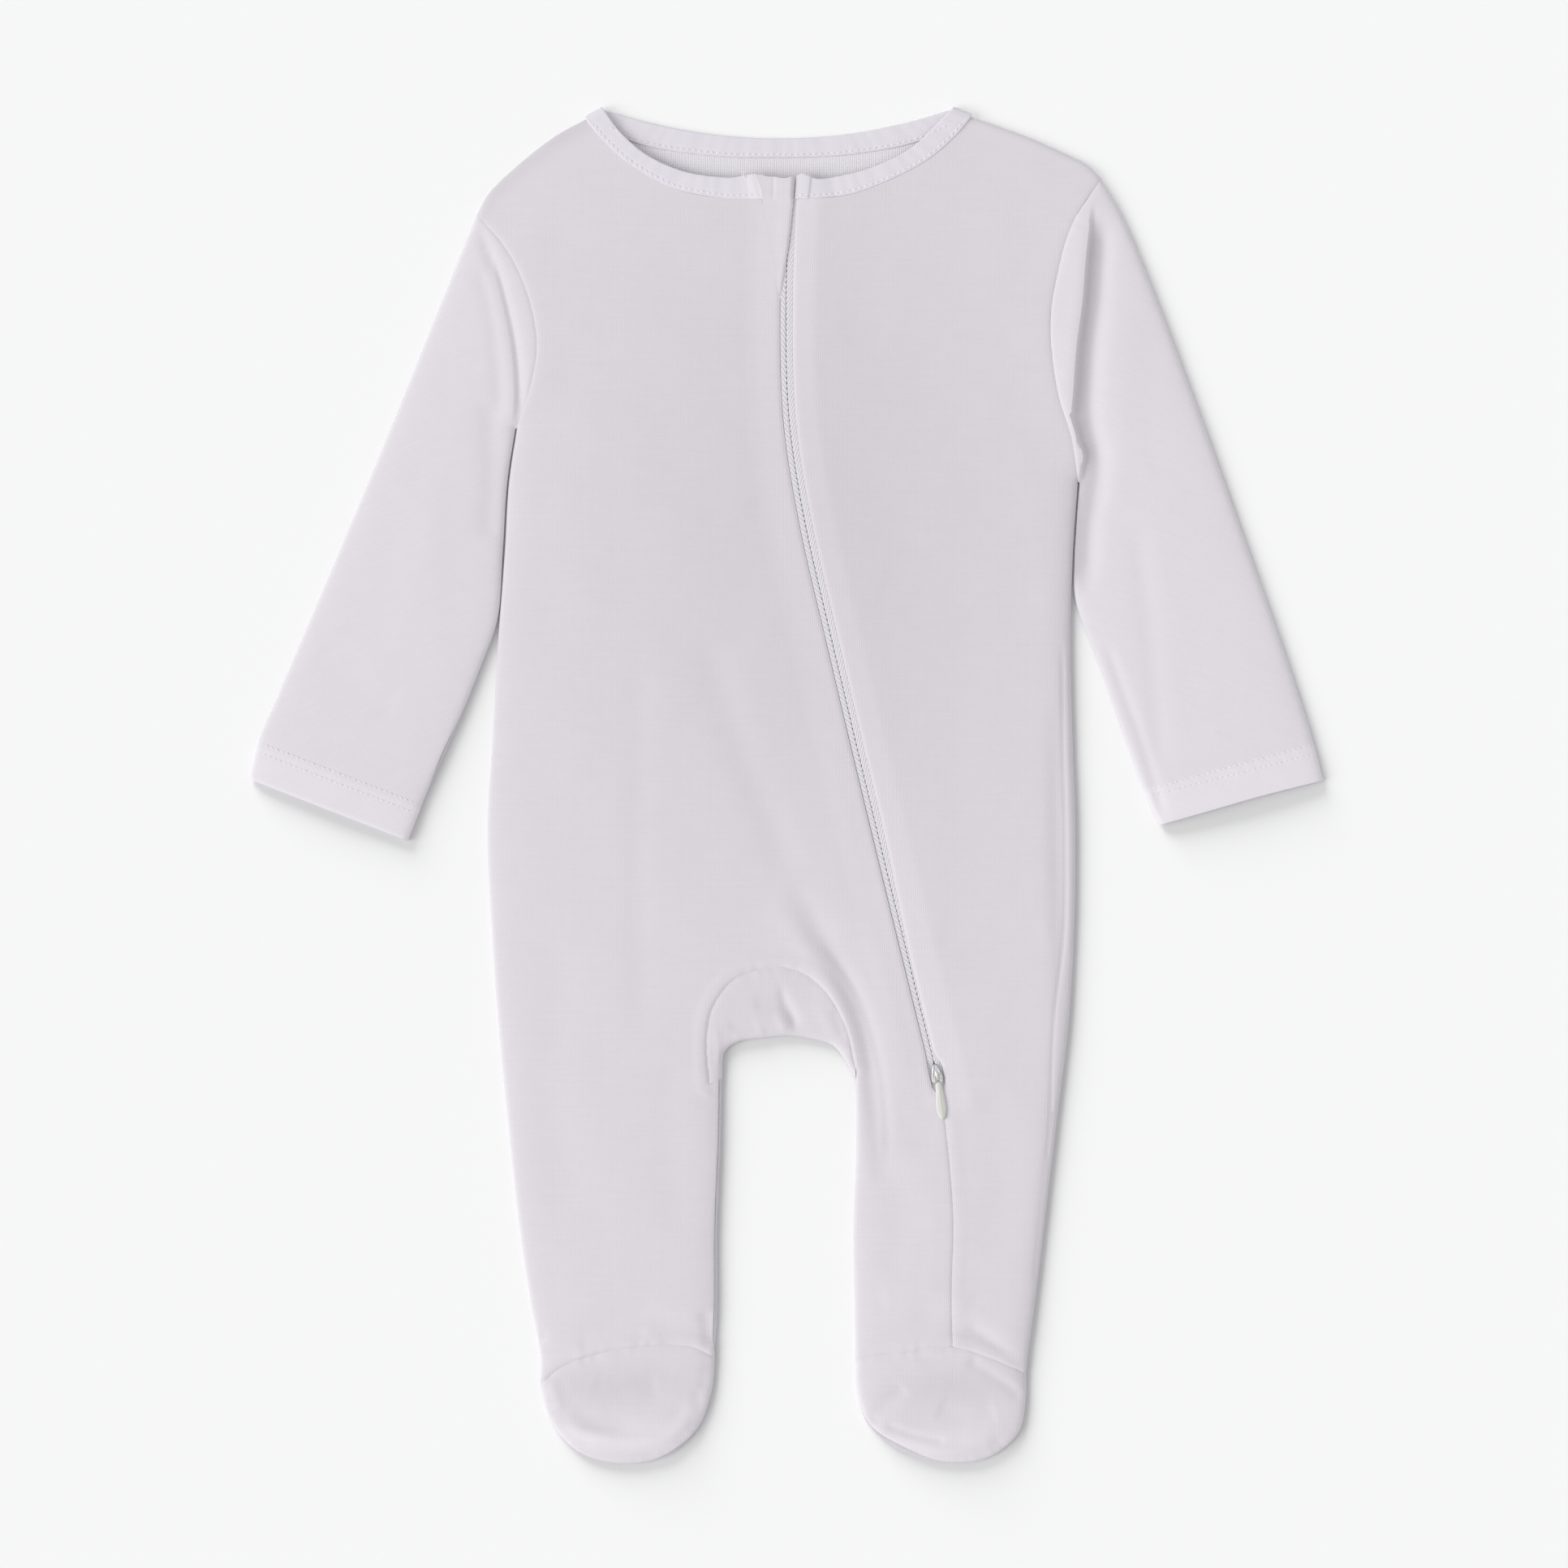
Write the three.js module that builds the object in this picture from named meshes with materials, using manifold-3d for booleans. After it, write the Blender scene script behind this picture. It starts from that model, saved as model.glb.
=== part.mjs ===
// A footed baby sleepsuit with a curved zip, laid flat with its front up and its back on the surface.
// Millimetres. +X points to the wearer's left, +Y to the neck and +Z up.
// "Right" and "left" are the wearer's.
// The cloth is made of walls: the back lies flat, and the front pieces lie just above it.
import * as THREE from 'three';
import { mergeVertices } from 'three/addons/utils/BufferGeometryUtils.js';
import Module from 'manifold-3d';

const wasm = await Module();
wasm.setup();

// Sizes of the cloth and of the gaps that part one piece from the next
const wall = 1.2;
const seamGap = 0.3;
const seamLevel = wall + seamGap;
const edgeRound = 1.4;
const edgeStep = 12;
const gridStep = 19;
const foldStep = 6.5;

// How far the front stands off the back: a quick rise at a folded edge, then a slow one to the middle
const firstRise = { height: 1.0, reach: 3 };
const slowRise = { height: 1.2, reach: 26 };

// The zip: visible gap between the two cloth edges, tapes under them, and the ridge that they press up
const zip = {
  halfSlit: 2.6,
  halfSlitLowLeft: 0.7,
  leftNarrowsFrom: -11,
  leftNarrowsTo: -78,
  halfSlitAtSlider: 3.1,
  sliderReach: 11,
  tapeWidth: 10.5,
  tapeWall: 1.0,
  tapeClearance: 0.45,
  ridge: 0.6,
  ridgeHalfWidth: 14,
  sliderAt: -119,
  endsAt: -134,
  closesAt: -127,
};

// The neck binding is a doubled strip
const bindingWall = 1.8;
const bindingFloor = wall + 0.9;

// Side edges of the body and legs, one row for each level from underarm to ankle
const bodySections = [
  { level: 'armhole foot', y: 125, right: -114.4, left: 120.2 },
  { level: 'chest', y: 96, right: -116.2, left: 118.2 },
  { level: 'waist', y: 60, right: -118.9, left: 117.2 },
  { level: 'belly', y: 20, right: -121.1, left: 118.0 },
  { level: 'hip', y: -18, right: -123.3, left: 119.2 },
  { level: 'seat', y: -58, right: -121.6, left: 118.7 },
  { level: 'crotch', y: -98, right: -118.8, left: 116.4 },
  { level: 'thigh', y: -138, right: -114.9, left: 111.6 },
  { level: 'knee', y: -178, right: -110.6, left: 106.8 },
  { level: 'calf', y: -210, right: -106.0, left: 103.0 },
  { level: 'ankle', y: -237, right: -101.2, left: 99.4 },
];
const underarm = { right: { x: -111.2, y: 147 }, left: { x: 120.2, y: 125 } };

// Inner edges of the two legs
const legSections = [
  { level: 'crotch', y: -121, right: -26.6, left: 28.6 },
  { level: 'thigh', y: -150, right: -27.2, left: 28.8 },
  { level: 'knee', y: -185, right: -28.6, left: 27.6 },
  { level: 'calf', y: -212, right: -28.6, left: 28.1 },
  { level: 'ankle', y: -236, right: -29.5, left: 28.5 },
];

// The sewn lines and the outlines between them, as rows of points that a smooth curve runs through
const shoulderRows = {
  right: [{ x: -83, y: 274.3 }, { x: -96, y: 267 }, { x: -113, y: 253.5 }, { x: -123, y: 243.5 },
    { x: -127.6, y: 235 }],
  left: [{ x: 76.4, y: 275.4 }, { x: 99.5, y: 267 }, { x: 115, y: 260.2 }, { x: 125, y: 255 },
    { x: 129.6, y: 250.2 }],
};
const armholeRows = {
  right: [{ x: -127.6, y: 235 }, { x: -115.6, y: 221 }, { x: -106.5, y: 202 }, { x: -102.8, y: 181.5 },
    { x: -105.5, y: 164 }, underarm.right],
  left: [{ x: 129.6, y: 250.2 }, { x: 118.2, y: 232 }, { x: 111.9, y: 212 }, { x: 108.6, y: 190 },
    { x: 112, y: 161 }, { x: 117.5, y: 143 }, underarm.left],
};
const neckRows = {
  // One row for each station: the free edge at the neck opening, and the edge that is sewn to the body
  right: [
    { at: 'shoulder', freeX: -75.5, freeY: 278.6, sewnX: -83, sewnY: 274.3 },
    { at: 'side', freeX: -69, freeY: 269.6, sewnX: -74.4, sewnY: 264.3 },
    { at: 'bend', freeX: -58, freeY: 259.8, sewnX: -64, sewnY: 255.3 },
    { at: 'bend', freeX: -42, freeY: 252.6, sewnX: -46, sewnY: 245.5 },
    { at: 'front', freeX: -26, freeY: 250.2, sewnX: -28, sewnY: 241.8 },
    { at: 'zip end', freeX: -12.4, freeY: 250.4, sewnX: -12, sewnY: 241.3 },
  ],
  back: [
    { at: 'right shoulder', freeX: -75.5, freeY: 278.6, sewnX: -83, sewnY: 274.3 },
    { at: 'right side', freeX: -57.3, freeY: 273.2, sewnX: -62.3, sewnY: 264.6 },
    { at: 'right back', freeX: -30, freeY: 268.2, sewnX: -33, sewnY: 259.5 },
    { at: 'centre back', freeX: -3, freeY: 266.6, sewnX: -3, sewnY: 258.5 },
    { at: 'left back', freeX: 24, freeY: 268.2, sewnX: 27, sewnY: 259.9 },
    { at: 'left side', freeX: 50, freeY: 273.2, sewnX: 55.5, sewnY: 265.5 },
    { at: 'left shoulder', freeX: 68.3, freeY: 278.6, sewnX: 76.4, sewnY: 275.4 },
  ],
  left: [
    { at: 'shoulder', freeX: 68.3, freeY: 278.6, sewnX: 76.4, sewnY: 275.4 },
    { at: 'side', freeX: 60.3, freeY: 270.6, sewnX: 69.3, sewnY: 266.9 },
    { at: 'bend', freeX: 51.2, freeY: 262.2, sewnX: 58, sewnY: 257.3 },
    { at: 'bend', freeX: 37, freeY: 255, sewnX: 41, sewnY: 248.4 },
    { at: 'front', freeX: 24, freeY: 251.2, sewnX: 26, sewnY: 243 },
    { at: 'bend', freeX: 12.4, freeY: 249.6, sewnX: 12, sewnY: 241.4 },
    { at: 'zip end', freeX: 4.7, freeY: 249.3, sewnX: 4.7, sewnY: 241.2 },
  ],
};
const closureRows = [{ x: 1.6, y: 249.5 }, { x: 0, y: 205 }, { x: 0.3, y: 164 }, { x: 2.3, y: 140 },
  { x: 8.4, y: 104.5 }, { x: 18.8, y: 59.3 }, { x: 31.5, y: 5.4 }, { x: 41.5, y: -36 },
  { x: 53.5, y: -85 }, { x: 61.2, y: -116.6 }, { x: 64.2, y: -131 }, { x: 67.3, y: -158 },
  { x: 68.7, y: -180 }, { x: 68, y: -208 }, { x: 68.4, y: -231.6 }];
const gussetRows = [{ x: -31.8, y: -123.3 }, { x: -32.8, y: -105 }, { x: -30.5, y: -92.1 },
  { x: -22, y: -80.6 }, { x: -8.7, y: -75.7 }, { x: 4, y: -76.4 }, { x: 15.1, y: -84.1 },
  { x: 24.1, y: -99.1 }, { x: 28.4, y: -116.5 }];
const crotchRows = [{ x: -26.6, y: -121 }, { x: -25.4, y: -110 }, { x: -20, y: -106 }, { x: -9, y: -104.3 },
  { x: 2, y: -103.5 }, { x: 12, y: -105.1 }, { x: 19.5, y: -107.8 }, { x: 28.6, y: -121 }];
const ankleRows = {
  right: [{ x: -101.6, y: -247 }, { x: -91.4, y: -239.3 }, { x: -74.4, y: -233.4 }, { x: -54.3, y: -230.8 },
    { x: -39, y: -231.6 }, { x: -29.5, y: -236 }],
  left: [{ x: 28.5, y: -236 }, { x: 52.6, y: -233 }, { x: 68.4, y: -231.6 }, { x: 83.4, y: -236 },
    { x: 98.9, y: -243 }],
};
const heelRows = {
  right: [{ x: -101.6, y: -247 }, { x: -85, y: -240 }, { x: -65, y: -236.8 }, { x: -46, y: -237 },
    { x: -29.5, y: -236 }],
  left: [{ x: 28.5, y: -236 }, { x: 45, y: -238 }, { x: 64, y: -237.4 }, { x: 83, y: -239 },
    { x: 98.9, y: -243 }],
};
const toeRows = {
  right: [{ x: -101.6, y: -247 }, { x: -98, y: -261 }, { x: -85.5, y: -276 }, { x: -67, y: -280 },
    { x: -48, y: -276 }, { x: -35.8, y: -264 }, { x: -30.5, y: -248 }, { x: -29.5, y: -236 }],
  left: [{ x: 28.5, y: -236 }, { x: 28.9, y: -249 }, { x: 33, y: -262.5 }, { x: 45, y: -273.5 },
    { x: 64, y: -279.3 }, { x: 82, y: -278 }, { x: 95.5, y: -267.5 }, { x: 98.6, y: -254 },
    { x: 98.9, y: -243 }],
};
const guardRows = {
  free: [{ x: 3.6, y: 250.2 }, { x: 2.8, y: 240 }, { x: 1.4, y: 226 }, { x: -0.5, y: 212 },
    { x: -2.6, y: 199.5 }],
  sewn: [{ x: -11.7, y: 250.6 }, { x: -11.2, y: 242 }, { x: -9.4, y: 230 }, { x: -6.3, y: 216 },
    { x: -2.6, y: 199.5 }],
};

// Sleeves: their two long edges from body to cuff, and the fold line that runs beside the armhole
const sleeveRows = {
  right: {
    outer: [{ x: -127.6, y: 235 }, { x: -143, y: 197 }, { x: -164.8, y: 143 }, { x: -187.2, y: 89.4 },
      { x: -210, y: 36 }, { x: -217.8, y: 17.4 }, { x: -221.4, y: 2.3 }],
    inner: [{ x: -111.8, y: 146.6 }, { x: -115.1, y: 125 }, { x: -117, y: 96 }, { x: -119.2, y: 68 },
      { x: -125.9, y: 49.2 }, { x: -136.7, y: 22.4 }, { x: -148.7, y: -4.4 }, { x: -156.1, y: -23.1 }],
    fold: [{ x: -127.2, y: 232 }, { x: -119.5, y: 210 }, { x: -112.8, y: 184 }, { x: -110.2, y: 160 },
      { x: -111.4, y: 143 }],
  },
  left: {
    outer: [{ x: 129.6, y: 250.2 }, { x: 137.3, y: 237 }, { x: 148.5, y: 211 }, { x: 169, y: 157 },
      { x: 188.4, y: 103 }, { x: 207.3, y: 49.2 }, { x: 217.4, y: 17.4 }, { x: 221.4, y: 1.7 }],
    inner: [{ x: 120.9, y: 124.6 }, { x: 119.7, y: 108 }, { x: 118.8, y: 92 }, { x: 119.2, y: 76.5 },
      { x: 128.9, y: 49.2 }, { x: 138.3, y: 22.4 }, { x: 148.4, y: -4.4 }, { x: 154, y: -16.5 }],
    fold: [{ x: 130.4, y: 247 }, { x: 125, y: 225 }, { x: 121.8, y: 196 }, { x: 118.9, y: 165 },
      { x: 118.9, y: 148 }, { x: 122.4, y: 135 }, { x: 120.6, y: 122 }],
  },
};
// Height of the sleeve's front beside the armhole, across its fold line: one row for each line of points
const sleeveFoldSections = {
  right: [{ past: 0, rise: 0 }, { past: -3.5, rise: -0.5 }, { past: 0, rise: -1.5 },
    { past: 3.5, rise: 0.3 }, { past: 9, rise: 0.2 }],
  left: [{ past: 0, rise: 0.4 }, { past: -3, rise: 1.4 }, { past: 0, rise: 1.0 },
    { past: 1.3, rise: -2.0 }, { past: 9, rise: -1.3 }],
};
const sleeveLengthRows = [0.12, 0.24, 0.4, 0.56, 0.7, 0.84, 0.95, 1];
const foldsEndAt = 0.35;
const armholeDepth = 6;
const edgeColumns = [0, 1.1, 4.5];
const middleColumns = 6;

// The largest folds of the front, one row each: a line through three points, its half width and its rise
const folds = [
  { name: 'trough, crotch to leg', from: [6, -46], via: [31, -97], to: [40, -160], half: 5, rise: -1.7 },
  { name: 'ridge beside that trough', from: [-2, -52], via: [21, -88], to: [33, -158], half: 5, rise: 0.9 },
  { name: 'ridge, trough to zip', from: [22, -40], via: [43, -96], to: [50, -165], half: 7, rise: 0.7 },
  { name: 'trough, left side', from: [111, 30], via: [112, -30], to: [113, -90], half: 3.5, rise: -0.8 },
  { name: 'right ankle dent', from: [-88, -226], via: [-64, -220], to: [-40, -222], half: 5, rise: -0.9 },
  { name: 'left ankle dent', from: [44, -225], via: [66, -222], to: [92, -233], half: 5, rise: -0.8 },
  { name: 'pucker in the gusset', from: [-8, -88], via: [0, -92], to: [6, -99], half: 3, rise: -0.8 },
  { name: 'right foot dip', from: [-86, -252], via: [-66, -256], to: [-44, -252], half: 9, rise: -0.4 },
  { name: 'right toe roll', from: [-92, -262], via: [-67, -273], to: [-42, -264], half: 5, rise: 0.9 },
  { name: 'left foot dip', from: [44, -250], via: [64, -255], to: [86, -256], half: 9, rise: -0.4 },
  { name: 'left toe roll', from: [38, -262], via: [64, -272.5], to: [90, -265], half: 5, rise: 0.9 },
];

// Slider and pull of the zip. The pull hangs from a bar that lies in the slider's bridge.
const slider = {
  length: 8.6, noseWidth: 5.2, tailWidth: 3.8, corner: 0.8, noseSlope: 1.4, waistAt: -0.6, tailSlope: 1.0,
  plate: 1.1, lowPlate: 0.9, post: 1.5, postLength: 2.6, postAt: -0.4,
  bridgeWidth: 1.4, bridgeHalfLength: 2.5, bridgeFoot: 0.8, tunnelHeight: 1.5, bridgeWall: 0.7,
};
const pull = {
  bar: 0.9, armGap: 1.05, armWidth: 0.75, armLength: 3.6, length: 17.6, neckWidth: 3.0, width: 4.9,
  widestShare: 0.78, thickness: 1.3, plateLift: 0.4, outlineSteps: 12,
};

// A smooth curve through rows of points
function smoothCurve(rows, x = 'x', y = 'y') {
  const points = rows.map((row) => new THREE.Vector3(row[x], row[y], 0));
  return new THREE.CatmullRomCurve3(points, false, 'centripetal');
}

// The same curve as points that are evenly spaced
function smoothLine(rows, step = edgeStep, x = 'x', y = 'y') {
  const curve = smoothCurve(rows, x, y);
  return curve.getSpacedPoints(Math.max(2, Math.round(curve.getLength() / step)));
}

function reversed(points) {
  return [...points].reverse();
}

// The height by which a rounded edge falls short of the full wall, at a distance from that edge
function edgeDrop(distance) {
  const inside = Math.max(0, edgeRound - distance);
  return 0.6 * (edgeRound - Math.sqrt(edgeRound ** 2 - inside ** 2));
}

const smoothStep = (low, high, value) => THREE.MathUtils.smoothstep(value, low, high);

function nearestOnLine(line, x, y) {
  let best = { distance: Infinity };
  for (let i = 0; i + 1 < line.length; i += 1) {
    const [a, b] = [line[i], line[i + 1]];
    const [dx, dy] = [b.x - a.x, b.y - a.y];
    const along = THREE.MathUtils.clamp(((x - a.x) * dx + (y - a.y) * dy) / (dx * dx + dy * dy), 0, 1);
    const distance = Math.hypot(x - a.x - along * dx, y - a.y - along * dy);
    if (distance < best.distance) best = { distance, share: (i + along) / (line.length - 1) };
  }
  return best;
}

// The line on which the zip closes and the fronts are sewn below it, with more points round the slider
function closureLine() {
  const fine = smoothLine(closureRows, edgeStep / 2.4);
  return fine.filter((point, i) => i % 2 === 0 || i === fine.length - 1
    || Math.abs(point.y - zip.closesAt) < 2 * edgeStep);
}

// Every sewn line and folded edge, made once and shared by the pieces on both of its sides
const column = (rows, side) => rows.map((row) => ({ x: row[side], y: row.y }));
const edge = {
  shoulderRight: smoothLine(shoulderRows.right),
  shoulderLeft: smoothLine(shoulderRows.left),
  armholeRight: smoothLine(armholeRows.right, 6),
  armholeLeft: smoothLine(armholeRows.left, 6),
  sideRight: smoothLine([underarm.right, ...column(bodySections, 'right'), toeRows.right[0]]),
  sideLeft: smoothLine([...column(bodySections, 'left'), ankleRows.left.at(-1)]),
  innerRight: smoothLine(column(legSections, 'right')),
  innerLeft: smoothLine(column(legSections, 'left')),
  gusset: smoothLine(gussetRows, 6),
  crotch: smoothLine(crotchRows, 6),
  ankleRight: smoothLine(ankleRows.right, 7),
  ankleLeft: smoothLine(ankleRows.left, 7),
  heelRight: smoothLine(heelRows.right, 7),
  heelLeft: smoothLine(heelRows.left, 7),
  toeRight: smoothLine(toeRows.right, 7),
  toeLeft: smoothLine(toeRows.left, 7),
  neckRight: smoothLine(neckRows.right, 7, 'sewnX', 'sewnY'),
  neckLeft: smoothLine(neckRows.left, 7, 'sewnX', 'sewnY'),
  neckBack: smoothLine(neckRows.back, 7, 'sewnX', 'sewnY'),
  closure: closureLine(),
};
const foldedEdges = [edge.shoulderRight, edge.shoulderLeft, edge.sideRight, edge.sideLeft, edge.innerRight,
  edge.innerLeft, edge.crotch, edge.toeRight, edge.toeLeft];
const foldLines = folds.map((fold) => ({
  ...fold,
  line: smoothLine([fold.from, fold.via, fold.to].map(([x, y]) => ({ x, y })), 4),
}));

// Height functions of the body
function bodyEdgeDistance(x, y) {
  return Math.min(...foldedEdges.map((line) => nearestOnLine(line, x, y).distance));
}

function softRise(distance) {
  return firstRise.height * (1 - Math.exp(-distance / firstRise.reach))
    + slowRise.height * (1 - Math.exp(-distance / slowRise.reach));
}

function zipRidge(x, y) {
  if (y < zip.endsAt - zip.ridgeHalfWidth) return 0;
  const across = nearestOnLine(edge.closure, x, y).distance;
  const nearEnd = smoothStep(zip.endsAt - zip.ridgeHalfWidth, zip.endsAt, y);
  return zip.ridge * nearEnd * (1 - smoothStep(zip.ridgeHalfWidth - 4, zip.ridgeHalfWidth + 4, across));
}

function foldRise(x, y) {
  return foldLines.reduce((sum, fold) => {
    const { distance, share } = nearestOnLine(fold.line, x, y);
    if (distance > 3 * fold.half) return sum;
    const endToEnd = Math.sin(Math.PI * (0.08 + 0.84 * share));
    return sum + fold.rise * endToEnd * Math.exp(-((distance / fold.half) ** 2));
  }, 0);
}

function frontUnderside(x, y) {
  return seamLevel + softRise(bodyEdgeDistance(x, y)) + zipRidge(x, y) + foldRise(x, y);
}

function frontTop(x, y) {
  return frontUnderside(x, y) + wall - edgeDrop(bodyEdgeDistance(x, y));
}

function backUnderside(x, y) {
  return edgeDrop(bodyEdgeDistance(x, y));
}

function backTop() {
  return wall;
}

// Joins points into triangles whose circumcircles hold no other point
function delaunay(points) {
  const count = points.length;
  const far = 1e4;
  const all = [...points, { x: -far, y: -far }, { x: far, y: -far }, { x: 0, y: far }];
  const withCircle = (a, b, c) => {
    const [p, q, r] = [all[a], all[b], all[c]];
    const [bx, by, cx, cy] = [q.x - p.x, q.y - p.y, r.x - p.x, r.y - p.y];
    const twice = 2 * (bx * cy - by * cx);
    const ux = (cy * (bx * bx + by * by) - by * (cx * cx + cy * cy)) / twice;
    const uy = (bx * (cx * cx + cy * cy) - cx * (bx * bx + by * by)) / twice;
    return { corners: [a, b, c], x: p.x + ux, y: p.y + uy, square: ux * ux + uy * uy };
  };
  let triangles = [withCircle(count, count + 1, count + 2)];
  points.forEach((point, index) => {
    const rim = new Map();
    triangles = triangles.filter((triangle) => {
      if ((point.x - triangle.x) ** 2 + (point.y - triangle.y) ** 2 > triangle.square) return true;
      const [a, b, c] = triangle.corners;
      [[a, b], [b, c], [c, a]].forEach(([from, to]) => {
        if (!rim.delete(`${to},${from}`)) rim.set(`${from},${to}`, [from, to]);
      });
      return false;
    });
    rim.forEach(([from, to]) => triangles.push(withCircle(from, to, index)));
  });
  return triangles.map((triangle) => triangle.corners).filter((corners) => Math.max(...corners) < count);
}

function isInside(outline, x, y) {
  let inside = false;
  outline.forEach((a, i) => {
    const b = outline[(i + 1) % outline.length];
    if ((a.y > y) !== (b.y > y) && x < ((b.x - a.x) * (y - a.y)) / (b.y - a.y) + a.x) inside = !inside;
  });
  return inside;
}

// Joins edges end to end into a closed outline that runs anticlockwise, moved in by half a seam gap
function joinedOutline(edges) {
  const loop = edges.flat().filter((point, i, all) => {
    const before = all[(i + all.length - 1) % all.length];
    return Math.hypot(point.x - before.x, point.y - before.y) > 0.5;
  });
  const area = loop.reduce((sum, a, i) => {
    const b = loop[(i + 1) % loop.length];
    return sum + a.x * b.y - b.x * a.y;
  }, 0);
  return insetOutline(area > 0 ? loop : reversed(loop), seamGap / 2);
}

function insetOutline(loop, depth) {
  return loop.map((point, i) => {
    const before = loop[(i + loop.length - 1) % loop.length];
    const after = loop[(i + 1) % loop.length];
    const first = new THREE.Vector2(point.x - before.x, point.y - before.y).normalize();
    const second = new THREE.Vector2(after.x - point.x, after.y - point.y).normalize();
    const inward = new THREE.Vector2(-first.y - second.y, first.x + second.x).normalize();
    const stretch = Math.max(0.4, inward.dot(new THREE.Vector2(-first.y, first.x)));
    return { x: point.x + (inward.x * depth) / stretch, y: point.y + (inward.y * depth) / stretch };
  });
}

// A small fixed shift that keeps points from lying on one circle
const nudge = (value) => 0.02 * Math.sin(value * 12.9898 + 4.1);

// Points for a panel: its outline, lines just inside that edge, and a grid that is finer at the folds
function panelPoints(outline, insets, step) {
  const closed = [...outline, outline[0]];
  const fromEdge = (x, y) => nearestOnLine(closed, x, y).distance;
  const rings = insets.flatMap((depth) => insetOutline(outline, depth)
    .filter(({ x, y }) => isInside(outline, x, y) && fromEdge(x, y) > 0.85 * depth));
  const xs = outline.map((point) => point.x);
  const ys = outline.map((point) => point.y);
  const gridPoints = (spacing, wanted) => {
    const found = [];
    for (let j = 0, y = Math.min(...ys); y < Math.max(...ys); j += 1, y += spacing * 0.866) {
      for (let x = Math.min(...xs) + (j % 2) * spacing * 0.5; x < Math.max(...xs); x += spacing) {
        if (isInside(outline, x, y) && wanted(x, y)) found.push({ x, y });
      }
    }
    return found;
  };
  const nearFold = (x, y) => foldLines.some((fold) => fold.half < 8
    && nearestOnLine(fold.line, x, y).distance < 1.7 * fold.half);
  const inner = [
    ...gridPoints(step, (x, y) => !nearFold(x, y) && fromEdge(x, y) > insets.at(-1) + 0.55 * step),
    ...gridPoints(foldStep, (x, y) => nearFold(x, y) && fromEdge(x, y) > insets.at(-1) + 0.55 * foldStep),
  ];
  return [...outline, ...[...rings, ...inner].map(({ x, y }) => ({ x: x + nudge(y), y: y + nudge(x) }))];
}

function solidGeometry(vertices, triangles) {
  const made = new THREE.BufferGeometry();
  made.setAttribute('position', new THREE.Float32BufferAttribute(vertices.flat(), 3));
  made.setIndex(triangles.flat());
  made.computeVertexNormals();
  return made;
}

// A wall between two height functions, over the triangles of a flat outline
function panelGeometry({ edges, underside, top, insets = [1.1, 4.5], step = gridStep }) {
  const outline = joinedOutline(edges);
  const points = panelPoints(outline, insets, step);
  const middle = (corners, axis) => corners.reduce((sum, corner) => sum + points[corner][axis], 0) / 3;
  const faces = delaunay(points).filter((corners) =>
    isInside(outline, middle(corners, 'x'), middle(corners, 'y')));
  const count = points.length;
  const vertices = [
    ...points.map(({ x, y }) => [x, y, top(x, y)]),
    ...points.map(({ x, y }) => [x, y, underside(x, y)]),
  ];
  const rim = new Map();
  faces.forEach(([a, b, c]) => [[a, b], [b, c], [c, a]].forEach(([from, to]) => {
    if (!rim.delete(`${to},${from}`)) rim.set(`${from},${to}`, [from, to]);
  }));
  const sides = [...rim.values()].flatMap(([a, b]) => [[a + count, b + count, b], [a + count, b, a]]);
  const lowFaces = faces.map(([a, b, c]) => [a + count, c + count, b + count]);
  return solidGeometry(vertices, [...faces, ...lowFaces, ...sides]);
}

// A solid through closed rings of equal count. Its ends are filled by rungs between the two halves of
// a ring or, for a tube, joined to the rings of its hollow.
function ringGeometry(rings, hollow) {
  const size = rings[0].length;
  const vertices = [...rings.flat(), ...(hollow ? hollow.flat() : [])];
  const triangles = [];
  const strip = (start, flip) => {
    for (let j = 0; j + 1 < rings.length; j += 1) {
      for (let i = 0; i < size; i += 1) {
        const a = start + j * size + i;
        const b = start + j * size + ((i + 1) % size);
        const quad = [[a, b, b + size], [a, b + size, a + size]];
        triangles.push(...(flip ? quad.map((face) => reversed(face)) : quad));
      }
    }
  };
  strip(0, false);
  const last = (rings.length - 1) * size;
  if (hollow) {
    const offset = rings.length * size;
    strip(offset, true);
    for (let i = 0; i < size; i += 1) {
      const next = (i + 1) % size;
      const [a, b] = [last + i, last + next];
      triangles.push([i, i + offset, next + offset], [i, next + offset, next]);
      triangles.push([a, b, b + offset], [a, b + offset, a + offset]);
    }
  } else {
    for (let i = 0; i + 1 < size / 2; i += 1) {
      const across = size - 1 - i;
      const [a, b] = [last + i, last + across];
      triangles.push([i, across, across - 1], [i, across - 1, i + 1]);
      triangles.push([a, a + 1, b - 1], [a, b - 1, b]);
    }
  }
  const made = solidGeometry(vertices, triangles);
  return signedVolume(vertices, triangles) < 0
    ? solidGeometry(vertices, triangles.map((face) => reversed(face))) : made;
}

function signedVolume(vertices, triangles) {
  const corner = (index) => new THREE.Vector3(...vertices[index]);
  return triangles.reduce((sum, [a, b, c]) => sum + corner(a).dot(corner(b).cross(corner(c))), 0) / 6;
}

// Distance from the closure line to a cloth edge. On the left the cloth creeps over the zip lower down.
function halfSlitAt(side, y) {
  const wide = smoothStep(zip.leftNarrowsTo, zip.leftNarrowsFrom, y);
  const leftSlit = THREE.MathUtils.lerp(zip.halfSlitLowLeft, zip.halfSlit, wide);
  const beside = side > 0 ? leftSlit : zip.halfSlit;
  const atSlider = Math.exp(-(((y - zip.sliderAt) / zip.sliderReach) ** 4));
  return THREE.MathUtils.lerp(beside, zip.halfSlitAtSlider, atSlider);
}

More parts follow.
